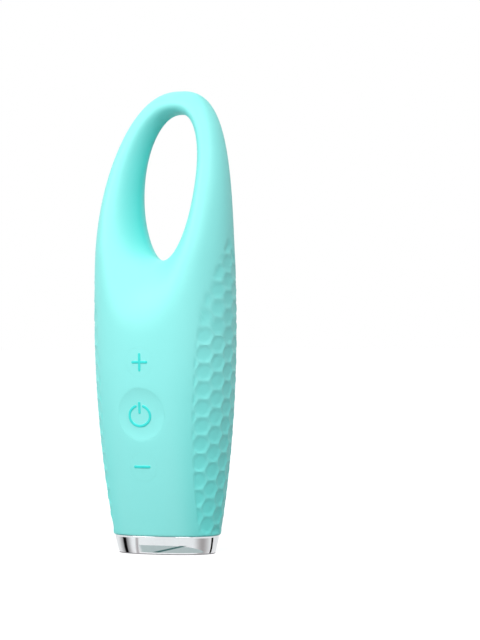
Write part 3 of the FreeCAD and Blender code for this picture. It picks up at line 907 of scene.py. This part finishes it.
@dataclass
class Sleeve:
    """The soft sleeve: one closed skin with the eye loop, the grip and the holes for the keys."""

    form: Form
    grip: Grip
    eye: EyeOpening
    keys: tuple[KeySpot, ...]
    wall: float = 2.4
    scoop_wall: float = 2.3
    core_top: float = 87.5
    join: float = 72.0
    outer_rows: int = 130
    half_ring: int = 136
    fine_arc: float = 15.5
    coarse_pace: float = 2.2
    pace_blend: float = 3.0
    ring_steps: int = 4000
    rim_round: float = 0.5
    rim_rows: int = 7
    under_rows: int = 5
    fine_low: float = 20.0
    fine_high: float = 71.6
    coarse_rows: int = 10
    loop_rows: int = 36
    outline_half: int = 112
    fine_outline: float = 0.55
    coarse_outline: float = 1.15
    outline_change: float = 104.0
    outline_blend: float = 8.0
    outline_steps: int = 6000
    hole_rings: tuple[float, ...] = (0.0, 0.3, 0.6, 0.85, 0.97, 1.0)
    # How much painted shade deepens the colour at the opening's wall, in the grip's cells and low on the
    # flanks, and how it is shaped
    wall_painted_shade: float = 1.1
    wall_power: float = 2.0
    wall_end: float = 6.0
    cell_painted_shade: float = 0.3
    flank_painted_shade: float = 0.5
    flank_start: float = 9.0
    flank_full: float = 19.0
    flank_top: float = 70.0

    def ring(self) -> tuple[np.ndarray, np.ndarray]:
        """Places round the unit section, spaced along its arc and finer over the grip.

        Returns:
            Shares of the half width and of the half depth, front half first, then the back half.
        """
        power = 2 / self.form.section_power
        angle = np.linspace(0, math.pi / 2, self.ring_steps)
        c, s = np.cos(angle) ** power, np.sin(angle) ** power
        lengths = np.hypot(np.diff(c) * self.form.half_width, np.diff(s) * self.form.half_depth)
        change = ease((np.cumsum(lengths) - self.fine_arc) / self.pace_blend)
        walk = np.concatenate([[0], np.cumsum(lengths / (1 + (self.coarse_pace - 1) * change))])
        even = np.interp(np.linspace(0, walk[-1], self.half_ring // 2 + 1), walk, angle)
        c, s = np.cos(even) ** power, np.sin(even) ** power
        c[-1], s[0] = 0, 0
        across = np.concatenate([c, -c[-2::-1]])
        along = np.concatenate([s, s[-2::-1]])
        return np.concatenate([across, across[-2:0:-1]]), np.concatenate([-along, along[-2:0:-1]])

    def rows(self) -> tuple[np.ndarray, np.ndarray]:
        """Heights and insets of the body's rings: down the inner wall, round the rim, up the outside.

        Returns:
            The height and the inset of each ring.
        """
        outer = np.linspace(self.form.rim + self.rim_round, self.join, self.outer_rows)
        fine = outer[(outer > self.fine_low) & (outer < self.fine_high)][::-1]
        top = np.linspace(self.core_top, fine[0], self.coarse_rows, endpoint=False)
        foot = np.linspace(fine[-1], self.form.rim, self.coarse_rows + 1)[1:]
        inner = np.concatenate([top, fine, foot])
        under = np.linspace(self.wall, self.rim_round, self.under_rows)[1:-1]
        turn = np.linspace(0, math.pi / 2, self.rim_rows)[:-1]
        round_z = self.form.rim + self.rim_round * (1 - np.cos(turn))
        round_in = self.rim_round * (1 - np.sin(turn))
        heights = [inner, np.full(len(under), self.form.rim), round_z, outer]
        insets = [np.full(len(inner), self.wall), under, round_in, np.zeros(len(outer))]
        return np.concatenate(heights), np.concatenate(insets)

    def body(self) -> tuple[np.ndarray, np.ndarray]:
        """The body's grid: each ring is the section at its height, drawn in by its inset.

        Under the loop the inner wall keeps its distance from the scoop below the opening.

        Returns:
            The grid of points, and the inset of each row.
        """
        across, along = self.ring()
        z, inset = (values[:, None] for values in self.rows())
        x = (self.form.width(z) - inset) * across
        y = self.form.lean(z) + (self.form.depth(z) - inset) * along
        y = y + np.where((inset == 0) & (along < 0), self.form.dish(x, z), 0)
        ahead = self.eye.sheet(Face.FRONT, x, z) + self.scoop_wall
        behind = self.eye.sheet(Face.BACK, x, z) - self.scoop_wall
        y = np.where(inset == self.wall, np.clip(y, ahead, behind), y)
        return np.stack([x, y, np.broadcast_to(z, x.shape)], -1), inset[:, 0]

    def hole(self, block: np.ndarray, key: KeySpot, inset: float) -> np.ndarray:
        """A patch from the edge of a square block of the body's grid to a round hole.

        Points go in straight lines, seen from the front, from the block's edge to the circle at the same
        angle, and lie on the wall that the block belongs to.

        Args:
            block: the block of points that is cut out.
            key: the key that the hole is for.
            inset: the inset of the wall, zero for the outside.

        Returns:
            Rings of points, from the block's edge to the hole.
        """
        edge = np.concatenate([block[0, :-1], block[:-1, -1], block[-1, :0:-1], block[:0:-1, 0]])
        angle = np.arctan2(edge[:, 2] - key.height, edge[:, 0])
        share = np.array(self.hole_rings)[:, None]
        x = edge[:, 0] * (1 - share) + key.radius * np.cos(angle) * share
        z = edge[:, 2] * (1 - share) + (key.height + key.radius * np.sin(angle)) * share
        y = self.form.inside(x, z, inset) if inset else self.form.front(x, z)
        patch = np.stack([x, y, z], -1)
        patch[0] = edge
        return patch

    def outline(self) -> np.ndarray:
        """The outer line of the loop, from the right join over the tip to the left one.

        It is the half width at heights that are spaced by arc length, finer up to where the grip ends.

        Returns:
            Points as x and z.
        """
        climb = np.linspace(1, 0, self.outline_steps)
        z = self.form.height - (self.form.height - self.join) * climb**2
        x = self.form.width(z)
        change = ease((z[1:] - self.outline_change) / self.outline_blend)
        pace = self.fine_outline + (self.coarse_outline - self.fine_outline) * change
        walk = np.concatenate([[0], np.cumsum(np.hypot(np.diff(x), np.diff(z)) / pace)])
        height = np.interp(np.linspace(0, walk[-1], self.outline_half), walk, z)
        height[0], height[-1] = self.join, self.form.height
        right = np.stack([self.form.width(height), height], -1)
        return np.concatenate([right, (right * [-1, 1])[-2::-1]])

    def loop(self, face: Face, top_ring: np.ndarray) -> np.ndarray:
        """One sheet of the loop, ruled along rays from the eye opening to the outer line.

        Args:
            face: the front or the back sheet.
            top_ring: the body's highest ring, which the sheet ends on.

        Returns:
            Rings of points, from the opening outwards.
        """
        half = top_ring[: self.half_ring + 1] if face is Face.FRONT else self.back_half(top_ring)
        line = self.outline()
        foot = half[-2:0:-1]
        outer = np.concatenate([line, foot[:, [0, 2]]])
        middle = np.array([0, self.eye.widest])
        opening = middle + (outer - middle) / self.eye.size(*outer.T)[:, None]
        share = (1 - np.cos(np.linspace(0, math.pi, self.loop_rows + 1)))[:, None, None] / 2
        x, z = np.moveaxis(opening * (1 - share) + outer * share, -1, 0)
        sheet = np.stack([x, self.eye.sheet(face, x, z), z], -1)
        sheet[-1, len(line):] = foot
        return sheet

    def back_half(self, ring: np.ndarray) -> np.ndarray:
        """The back half of a ring, from the right side to the left, as the front half runs."""
        return np.concatenate([ring[:1], ring[: self.half_ring - 1 : -1]])

    def build(self, wardrobe: Wardrobe) -> bpy.types.Object:
        """Weld the body, its key holes, the loop's two sheets and the inner cap, and dress the skin.

        Args:
            wardrobe: the finishes.

        Returns:
            The sleeve.
        """
        skin = Patchwork("silicone_sleeve_skin")
        grid, inset = self.body()
        shown = grid.copy()
        outside = inset == 0
        shown[outside] = self.grip.press(grid[outside])
        keep = np.ones((len(grid) - 1, grid.shape[1]), bool)
        columns = np.arange(self.half_ring + 1)
        for key in self.keys:
            rims = []
            near = np.abs(grid[:, 0, 2] - key.height) <= key.square
            level = grid[outside & near][0, : self.half_ring + 1, 0]
            cut = columns[np.abs(level) <= key.square]
            for wall in (0.0, self.wall):
                rows = np.flatnonzero((inset == wall) & near)
                keep[rows.min(): rows.max(), cut.min(): cut.max()] = False
                block = grid[np.sort(rows) if wall == 0 else np.sort(rows)[::-1]][:, cut]
                patch = self.hole(block, key, wall)
                skin.add(patch)
                rims.append(patch[-1])
            skin.add(np.stack(rims))
        skin.add(shown, keep=keep)
        for face in Face:
            skin.add(self.grip.press(self.loop(face, grid[-1])))
        skin.add(np.stack([grid[0, : self.half_ring + 1], self.back_half(grid[0])]), closed=False)
        piece = skin.build()
        # Painted shade: a mark that deepens the silicone's colour towards the opening, in the grip's cells
        # and low on the flanks
        self.mark(piece.data)
        return seat(wardrobe.dress(piece, "aqua_silicone"), "housing", "silicone_sleeve")

    def mark(self, mesh: bpy.types.Mesh) -> None:
        """Mark the painted shade of each point, for the finish to deepen its colour by it.

        The shade is painted towards the opening's edge, in the cells of the grip and low on the flanks.

        Args:
            mesh: the sleeve's mesh.
        """
        points = np.empty(len(mesh.vertices) * 3, np.float32)
        mesh.vertices.foreach_get("co", points)
        points = points.reshape(-1, 3) / MM
        x, _, z = points.T
        low = np.clip((self.eye.widest - z) / self.eye.lower, 0, 1)
        wall = (1 - self.eye.rounding(x, z)) ** self.wall_power * (1 - low**self.wall_end)
        cell = self.grip.sink(points) / self.grip.depth
        beside = ease((np.abs(x) - self.flank_start) / (self.flank_full - self.flank_start))
        flank = beside * np.clip((self.flank_top - z) / (self.flank_top - self.form.rim), 0, 1)
        # Painted shade: the opening's wall, the grip's cells and the low flanks, each deepened by its own
        # weight
        painted_shade = self.wall_painted_shade * wall + self.cell_painted_shade * cell + self.flank_painted_shade * flank
        mark_points(mesh, PAINTED_SHADE, np.clip(painted_shade, 0, 1))


@dataclass
class KeyPad:
    """One key: a round of the sleeve's own face, with a raised sign on it."""

    form: Form
    spot: KeySpot
    gap: float = 0.025
    points: int = 192
    rings: int = 40
    last_ring_share: float = 0.99
    back_step: int = 8
    stroke: float = 0.9
    lift: float = 0.2
    root: float = 0.3
    cap_points: int = 11
    dome_power: float = 4.0
    bead_shares: tuple[float, ...] = (0, 0.4, 0.65, 0.82, 0.93, 0.985, 1, 1, 0)
    crease: float = 60.0

    def pad(self) -> bpy.types.Object:
        """The key: rings on the front face, a straight side and a flat back.

        Returns:
            The key.
        """
        angle = np.linspace(0, 2 * math.pi, self.points, endpoint=False)
        edge = self.spot.radius - self.gap
        radius = np.concatenate([np.linspace(0, edge * self.last_ring_share, self.rings), [edge]])[:, None]
        x, z = radius * np.cos(angle), self.spot.height + radius * np.sin(angle)
        face = np.stack([x, self.form.front(x, z), z], -1)
        back = face[:: -self.back_step].copy()
        back[..., 1] = self.spot.pad_back
        back[-1] = [0, self.spot.pad_back, self.spot.height]
        skin = Patchwork(f"{self.spot.name}_key_pad")
        skin.add(np.concatenate([face, back]))
        return skin.build()

    def bead(self, path: np.ndarray) -> np.ndarray:
        """A raised line with round ends along a path on the key.

        Rings are the path's offsets, from the path itself out to half the stroke, and back underneath.
        Their height over the face is a dome, the root of 1 - r^p, so the top is flat and the edges round.

        Args:
            path: points as x and height over the key's middle.

        Returns:
            Rings of points, closed at the path above and below.
        """
        run = np.gradient(path, axis=0)
        run /= np.linalg.norm(run, axis=1, keepdims=True)
        side = np.stack([-run[:, 1], run[:, 0]], -1)
        turn = np.linspace(0, math.pi, self.cap_points)[1:-1, None]
        far = side[-1] * np.cos(turn) + run[-1] * np.sin(turn)
        near = -side[0] * np.cos(turn) - run[0] * np.sin(turn)
        way = np.concatenate([side, far, -side[::-1], near])
        ends = len(turn)
        last, first = np.repeat(path[-1:], ends, 0), np.repeat(path[:1], ends, 0)
        line = np.concatenate([path, last, path[::-1], first])
        share = np.array(self.bead_shares)[:, None]
        rise = self.lift * np.sqrt(np.clip(1 - share**self.dome_power, 0, 1))
        rise[-2:] = -self.root
        flat = line + share[..., None] * self.stroke / 2 * way
        x, z = flat[..., 0], flat[..., 1] + self.spot.height
        return np.stack([x, self.form.front(x, z) - rise, z], -1)

    def sign(self, paths: list[np.ndarray]) -> bpy.types.Object:
        """Make one raised sign of several lines.

        Args:
            paths: the lines' points.

        Returns:
            The sign.
        """
        skin = Patchwork(f"{self.spot.name}_key_sign")
        for path in paths:
            skin.add(self.bead(path))
        return skin.build(self.crease)

    def build(self, paths: list[np.ndarray], wardrobe: Wardrobe) -> None:
        """Make and dress the key and its sign.

        Args:
            paths: the lines of the sign.
            wardrobe: the finishes.
        """
        spot = self.spot
        seat(wardrobe.dress(self.pad(), "aqua_key"), spot.body, f"{spot.name}_key")
        seat(wardrobe.dress(self.sign(paths), "teal_sign"), spot.body)


@dataclass(frozen=True)
class Signs:
    """Sizes of the plus, power and minus signs, as the middle lines of their strokes."""

    plus_half: float = 2.62
    plus_shift: float = 0.1
    minus_half: float = 2.7
    minus_shift: float = -0.41
    ring_half_width: float = 3.91
    ring_half_height: float = 3.4
    ring_shift: float = -0.6
    ring_drop: float = 0.4
    ring_gap: float = 22.0
    bar_low: float = 1.1
    bar_high: float = 4.25
    bar_points: int = 24
    ring_points: int = 120

    def bar(self, start: tuple[float, float], end: tuple[float, float]) -> np.ndarray:
        """A straight line of points."""
        return np.linspace(start, end, self.bar_points)

    def plus(self) -> list[np.ndarray]:
        """An upright line and a level one."""
        half, middle = self.plus_half, self.plus_shift
        return [self.bar((middle - half, 0), (middle + half, 0)), self.bar((middle, -half), (middle, half))]

    def minus(self) -> list[np.ndarray]:
        """A level line."""
        half, middle = self.minus_half, self.minus_shift
        return [self.bar((middle - half, 0), (middle + half, 0))]

    def power(self) -> list[np.ndarray]:
        """A ring that is open at the top, and an upright line in its gap.

        Returns:
            Both lines.
        """
        top = 90
        turn = np.radians(np.linspace(top + self.ring_gap, top + 360 - self.ring_gap, self.ring_points))
        across, up = self.ring_half_width * np.cos(turn), self.ring_half_height * np.sin(turn)
        low, high = self.bar_low - self.ring_drop, self.bar_high - self.ring_drop
        middle = self.ring_shift
        return [np.stack([across + middle, up - self.ring_drop], -1), self.bar((middle, low), (middle, high))]


@dataclass
class Foot:
    """The plated foot: a tapered oval cup with a collar and the hole for the jack."""

    power: float = 2.25
    rim_x: float = 18.75
    rim_y: float = 11.45
    height: float = 6.3
    taper: float = 1.5
    edge: float = 0.5
    top_edge: float = 0.2
    floor: float = 2.0
    collar_inset: float = 3.8
    collar_wall: float = 1.5
    collar_height: float = 4.5
    jack_radius: float = 2.4
    jack_edge: float = 0.15
    jack_power: float = 2.0
    edge_steps: int = 7
    wall_steps: int = 9
    under_insets: Triple = (4.0, 1.5, 0.4)
    points: int = 272
    crease: float = 30.0

    def profile(self) -> np.ndarray:
        """The foot's closed section: half sizes, section power and height of each ring in turn.

        From the jack's hole along the underside, round the lower edge, up the tapered wall, over the ledge
        and the collar, and back along the floor.

        Returns:
            Rows of half width, half depth, power and height.
        """
        def oval(inset: float, z: float) -> tuple[float, ...]:
            """A ring of the foot's own oval, drawn in."""
            return self.rim_x - inset, self.rim_y - inset, self.power, z

        def hole(grow: float, z: float) -> tuple[float, ...]:
            """A ring of the jack's round hole, grown."""
            return self.jack_radius + grow, self.jack_radius + grow, self.jack_power, z

        turn = np.linspace(0, math.pi / 2, self.edge_steps)
        low = self.taper * (1 - self.edge / self.height)
        lower = [oval(low + self.edge * (1 - math.sin(t)), self.edge * (1 - math.cos(t))) for t in turn]
        levels = np.linspace(self.edge, self.height - self.top_edge, self.wall_steps)[1:]
        wall = [oval(self.taper * (1 - z / self.height), z) for z in levels]
        last = self.taper * self.top_edge / self.height
        rounds = [(self.top_edge * (1 - math.cos(t)), self.top_edge * (1 - math.sin(t))) for t in turn[1:]]
        upper = [oval(last + inset, self.height - drop) for inset, drop in rounds]
        outer, inner = self.collar_inset, self.collar_inset + self.collar_wall
        top = self.height + self.collar_height
        collar = [oval(outer, self.height), oval(outer, top), oval(inner, top), oval(inner, self.floor)]
        jack = [hole(0, self.floor), hole(0, self.jack_edge), hole(self.jack_edge, 0)]
        under = [oval(low + self.edge + inset, 0) for inset in self.under_insets]
        return np.array(jack + under + lower + wall + upper + collar + jack[:1])

    def build(self, wardrobe: Wardrobe) -> bpy.types.Object:
        """Carry the profile round, each ring a superellipse of its own half sizes and power, and dress it.

        Args:
            wardrobe: the finishes.

        Returns:
            The foot.
        """
        turn = np.linspace(0, 2 * math.pi, self.points, endpoint=False)
        half_x, half_y, power, z = (column[:, None] for column in self.profile().T)
        x = half_x * signed_power(np.cos(turn), 2 / power)
        y = half_y * signed_power(np.sin(turn), 2 / power)
        skin = Patchwork("plated_foot_shell")
        skin.add(np.stack([x, y, np.broadcast_to(z, x.shape)], -1))
        return seat(wardrobe.dress(skin.build(self.crease), "bright_plate"), "housing", "plated_foot")


@dataclass
class CellFoam:
    """The soft pad between the cell and the board: a rounded block with bulging sides."""

    node: str = "battery_foam"
    fill: float = 0.9
    power: float = 0.22
    rows: int = 24
    columns: int = 64
    crease: float = 60.0

    def build(self, wardrobe: Wardrobe) -> bpy.types.Object:
        """A superellipsoid in the CAD pad's box: powers of the cosine and sine of two angles.

        Args:
            wardrobe: the finishes.

        Returns:
            The pad.
        """
        low, high = (np.array(corner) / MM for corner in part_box(self.node))
        up = np.linspace(-math.pi / 2, math.pi / 2, self.rows)[:, None]
        turn = np.linspace(0, 2 * math.pi, self.columns, endpoint=False)[None, :]
        across, along, level, climb = (
            signed_power(part, self.power) for part in (np.cos(turn), np.sin(turn), np.cos(up), np.sin(up))
        )
        level[[0, -1]] = 0
        unit = np.stack([level * across, level * along, climb + 0 * turn], -1)
        skin = Patchwork("cell_foam_pad")
        skin.add((low + high) / 2 + (high - low) / 2 * unit)
        foam = seat(wardrobe.dress(skin.build(self.crease), "open_foam"), "housing", self.node)
        return foam


@dataclass(frozen=True)
class Card:
    """A painted reflection: a patch of the foot's wall and the brightness that it mirrors from a glowing card
    on the floor.

    Places across are measured from the axis, at right angles to the view. The top edge may lie beside the
    lower one, its right end may droop, and the sides may fade out over a share of the width.
    """

    name: str
    left: float
    right: float
    low: float
    high: float
    colour: Colour
    lean: float = 0.0
    droop: float = 0.0
    fade: float = 0.05


@dataclass(frozen=True)
class Lamp:
    """A square soft lamp: place and side in metres, power in watts, and whether reflections show it."""

    name: str
    place: Triple
    side: float
    power: float
    glossy: bool = True


@dataclass
class Studio:
    """Camera, floor, lamps and the glowing cards that the bright foot mirrors, which paint reflections on it.
    """

    foot: Foot
    camera_turn: float = 29.5
    camera_aim: float = 28.06
    camera_roll: float = 0.486
    camera_away: float = 1000.0
    camera_height: float = 78.1
    lens: float = 167.12
    sensor: float = 36.0
    clip: tuple[float, float] = (0.05, 50.0)
    floor_half: float = 6000.0
    world_level: float = 0.25
    floor_glow: tuple[float, float] = (0.76, 0.94)
    floor_near: tuple[float, float] = (0.12, 1.2)
    floor_mirrored: float = 0.66
    floor_white: float = 0.35
    floor_rough: float = 0.9
    oval_steps: int = 4000
    least_facing: float = 0.02
    least_fall: float = 0.05
    card_steps: int = 40
    card_curve: float = 5.0
    card_lift: float = 0.02
    # Reach, steps, soft share and colour of the painted shadow under the foot, which only reflections show
    contact_reach: float = 0.9
    contact_steps: int = 120
    contact_soft_share: float = 0.5
    painted_shadow_colour: Colour = (96, 90, 92)
    # Painted reflections: each card glows with its colour where the foot's wall mirrors the floor, and only
    # reflections show it
    cards: tuple[Card, ...] = (
        Card("left_shade", -16.8, -11.6, 0.0, 8.0, (128, 126, 127), 0.75, fade=0.5),
        Card("left_line", -14.95, -13.65, 0.0, 8.0, (10, 10, 10), 0.75, fade=0.2),
        Card("panel_edge", -11.4, -9.8, 0.0, 8.0, (190, 186, 187), 1.3, fade=0.5),
        Card("right_shade", 8.6, 15.4, 0.0, 8.0, (182, 178, 177), -0.67, fade=0.5),
        Card("right_line", 14.75, 15.5, 0.0, 8.0, (10, 10, 10), -0.67, fade=0.15),
        Card("low_arc", -9.9, 12.9, 0.4, 3.15, (196, 212, 211), droop=2.6),
        Card("diagonal", -6.2, -2.6, 0.45, 3.1, (60, 108, 106), 10.0, fade=0.4),
    )
    lamp_aim: Triple = (0.0, 0.0, 0.085)
    lamps: tuple[Lamp, ...] = (
        Lamp("left_lamp", (-0.687, -0.687, 0.594), 0.5, 5.9),
        Lamp("front_lamp", (0.251, -0.938, 0.594), 0.5, 4.8),
        Lamp("right_lamp", (0.637, -0.368, 0.895), 0.5, 4.0),
        Lamp("high_lamp", (0.25, -0.25, 1.13), 0.4, 1.8),
        Lamp("back_lamp", (-0.55, 0.85, 0.75), 0.5, 3.6, glossy=False),
    )

    def camera(self) -> None:
        """Set the camera where the photograph was taken from."""
        data = bpy.data.cameras.new("camera")
        data.lens, data.sensor_width = self.lens, self.sensor
        data.clip_start, data.clip_end = self.clip
        camera = show("camera", data)
        turn = math.radians(self.camera_turn)
        away = self.camera_away * MM
        camera.location = (away * math.sin(turn), -away * math.cos(turn), self.camera_height * MM)
        camera.rotation_euler = (math.pi / 2, math.radians(self.camera_roll), math.radians(self.camera_aim))
        bpy.context.scene.camera = camera

    def mirrored(self, across: np.ndarray, z: np.ndarray) -> np.ndarray:
        """Where on the floor the foot's leaning wall mirrors the view from the camera.

        The wall's oval is followed round its visible side, its normal leans down by the taper, and the
        mirrored ray, v - 2 (v . n) n, is carried down to the floor.

        Args:
            across: places across the wall, at right angles to the view.
            z: heights on the wall.

        Returns:
            Points on the floor.
        """
        turn = math.radians(self.camera_turn)
        half_x, half_y = self.foot.rim_x - self.foot.taper / 2, self.foot.rim_y - self.foot.taper / 2
        angle = np.linspace(0, 2 * math.pi, self.oval_steps)
        shape = signed_power(np.stack([np.cos(angle), np.sin(angle)]), 2 / self.foot.power)
        x, y = shape * [[half_x], [half_y]]
        out = signed_power(shape, self.foot.power - 1) / [[half_x], [half_y]]
        out /= np.linalg.norm(out, axis=0)
        seen = np.flatnonzero(out[0] * math.sin(turn) - out[1] * math.cos(turn) > self.least_facing)
        run = x[seen] * math.cos(turn) + y[seen] * math.sin(turn)
        order = seen[np.argsort(run)]
        run = np.sort(run)
        px, py, nx, ny = (np.interp(across, run, row[order]) for row in (x, y, *out))
        lean = math.atan(self.foot.taper / self.foot.height)
        down = np.full_like(nx, -math.sin(lean))
        normal = np.stack([nx * math.cos(lean), ny * math.cos(lean), down], -1)
        normal /= np.linalg.norm(normal, axis=-1, keepdims=True)
        view = np.array([-math.sin(turn), math.cos(turn), -self.camera_height / self.camera_away])
        ray = view - 2 * (normal @ view)[..., None] * normal
        far = z / np.maximum(-ray[..., 2], self.least_fall)
        return np.stack([px + ray[..., 0] * far, py + ray[..., 1] * far, np.zeros_like(px)], -1)

    def card(self, card: Card) -> None:
        """Lay a glowing card on the floor for the foot to mirror, a painted reflection.

        Args:
            card: the patch of the wall that is to mirror it.
        """
        share = np.linspace(0, 1, self.card_steps)
        along, up = np.meshgrid(share, share)
        across = card.left + (card.right - card.left) * along + card.lean * up
        high = card.high - card.droop * along**self.card_curve
        points = self.mirrored(across, card.low + (high - card.low) * up)
        points[..., 2] = self.card_lift * (2 + self.cards.index(card))
        self.lay(card.name, points, ease(np.minimum(along, 1 - along) / card.fade), card.colour)

    def painted_foot_shadow(self) -> None:
        """Lay a painted shadow under the foot: a dark oval, which the rounding of its lower edge mirrors."""
        shares, turns = np.linspace(0, 1, self.card_steps), np.linspace(0, 2 * math.pi, self.contact_steps)
        share, angle = np.meshgrid(shares, turns)
        oval = signed_power(np.stack([np.cos(angle), np.sin(angle)], -1), 2 / self.foot.power)
        reach = share * self.contact_reach - self.foot.taper
        flat = oval * np.stack([self.foot.rim_x + reach, self.foot.rim_y + reach], -1)
        points = np.concatenate([flat, np.full_like(share, self.card_lift)[..., None]], -1)
        self.lay("painted_foot_shadow", points, ease((1 - share) / self.contact_soft_share), self.painted_shadow_colour)

    def lay(self, name: str, points: np.ndarray, cover: np.ndarray, colour: Colour) -> None:
        """Lay a glowing grid of points on the floor that only reflections show, which paints a reflection.

        Args:
            name: the new piece's name.
            points: rows of points.
            cover: how opaque each point is.
            colour: its brightness.
        """
        mesh = bpy.data.meshes.new(name)
        faces = grid_faces(*cover.shape, closed=False).reshape(-1, 4)
        mesh.from_pydata((points.reshape(-1, 3) * MM).tolist(), [], faces.tolist())
        mark_points(mesh, COVER, cover.ravel())
        material, tree, shader = new_material(name)
        set_inputs(shader, {"Base Color": BLACK, "Specular IOR Level": 0.0,
                            "Emission Color": linear(colour), "Emission Strength": 1.0})
        mark = add_node(tree, "Attribute")
        mark.attribute_name = COVER
        wire(tree, (mark.outputs["Fac"], shader.inputs["Alpha"]))
        mesh.materials.append(material)
        piece = show(name, mesh)
        piece.visible_camera = piece.visible_diffuse = piece.visible_shadow = False

    def seen_directly(self, tree: bpy.types.NodeTree) -> bpy.types.NodeSocket:
        """A mask of the rays that show the background: from the camera, a mirror or glass.

        Args:
            tree: the world's nodes.

        Returns:
            The mask's socket.
        """
        path = add_node(tree, "LightPath")
        first, both = add_node(tree, "Math", "MAXIMUM"), add_node(tree, "Math", "MAXIMUM")
        wire(
            tree,
            (path.outputs["Is Camera Ray"], first.inputs[0]),
            (path.outputs["Is Glossy Ray"], first.inputs[1]),
            (first.outputs[0], both.inputs[0]),
            (path.outputs["Is Transmission Ray"], both.inputs[1]),
        )
        return both.outputs[0]

    def world(self) -> None:
        """A white surround where it is seen, at a plain level where it lights."""
        world = bpy.data.worlds.new("surround")
        world.use_nodes = True
        bpy.context.scene.world = world
        tree = world.node_tree
        surround, level = tree.nodes["Background"], add_node(tree, "MapRange")
        set_inputs(surround, {"Color": WHITE})
        set_inputs(level, {"To Min": self.world_level, "To Max": 1.0})
        wire(tree, (self.seen_directly(tree), level.inputs["Value"]),
             (level.outputs["Result"], surround.inputs["Strength"]))

    def floor(self) -> None:
        """A white floor that glows where it is seen, least near the object, so that the shadow stays."""
        reach = self.floor_half * MM
        mesh = bpy.data.meshes.new("floor")
        corners = [(-reach, -reach, 0), (reach, -reach, 0), (reach, reach, 0), (-reach, reach, 0)]
        mesh.from_pydata(corners, [], [(0, 1, 2, 3)])
        material, tree, shader = new_material("floor_white")
        set_inputs(shader, {"Base Color": (*[self.floor_white] * 3, 1), "Roughness": self.floor_rough,
                            "Specular IOR Level": 0.0, "Emission Color": WHITE})
        path, place, near = (add_node(tree, kind) for kind in ("LightPath", "TexCoord", "MapRange"))
        away = add_node(tree, "VectorMath", "LENGTH")
        mirrored, glow = add_node(tree, "Math", "MULTIPLY"), add_node(tree, "Math", "MULTIPLY_ADD")
        mirrored.inputs[1].default_value = self.floor_mirrored
        ends = ("From Min", "From Max", "To Min", "To Max")
        set_inputs(near, dict(zip(ends, self.floor_near + self.floor_glow)))
        wire(
            tree,
            (place.outputs["Object"], away.inputs[0]),
            (away.outputs["Value"], near.inputs["Value"]),
            (path.outputs["Is Glossy Ray"], mirrored.inputs[0]),
            (path.outputs["Is Camera Ray"], glow.inputs[0]),
            (near.outputs["Result"], glow.inputs[1]),
            (mirrored.outputs[0], glow.inputs[2]),
            (glow.outputs[0], shader.inputs["Emission Strength"]),
        )
        mesh.materials.append(material)
        floor = show("floor", mesh)

    def light(self, lamp: Lamp) -> None:
        """Set up a lamp, turned to the middle of the object.

        Args:
            lamp: its place, size and power.
        """
        data = bpy.data.lights.new(lamp.name, "AREA")
        data.size, data.energy = lamp.side, lamp.power
        piece = show(lamp.name, data)
        piece.location = lamp.place
        piece.visible_glossy = lamp.glossy
        aim = Vector(self.lamp_aim) - Vector(lamp.place)
        piece.rotation_euler = aim.to_track_quat("-Z", "Y").to_euler()

    def build(self) -> None:
        """Set up the whole studio."""
        bpy.context.scene.view_settings.view_transform = "Standard"
        self.camera()
        self.world()
        self.floor()
        self.painted_foot_shadow()
        for card in self.cards:
            self.card(card)
        for lamp in self.lamps:
            self.light(lamp)


def main() -> None:
    """Build the studio, then each piece in order."""
    logging.basicConfig(level=logging.INFO, format="%(name)s: %(message)s")
    form, signs, wardrobe = Form(), Signs(), Wardrobe()
    spots = tuple(
        KeySpot(name, height, radius, square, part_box(f"{name}_key")[1].y / MM)
        for name, height, radius, square in KEY_SIZES
    )
    foot = Foot()
    Studio(foot).build()
    Sleeve(form, Grip(form), EyeOpening(form), spots).build(wardrobe)
    for spot, paths in zip(spots, (signs.plus(), signs.power(), signs.minus())):
        KeyPad(form, spot).build(paths, wardrobe)
    foot.build(wardrobe)
    CellFoam().build(wardrobe)
    LOG.info("%d CAD nodes dressed", wardrobe.dress_nodes())


if __name__ == "__main__":
    main()
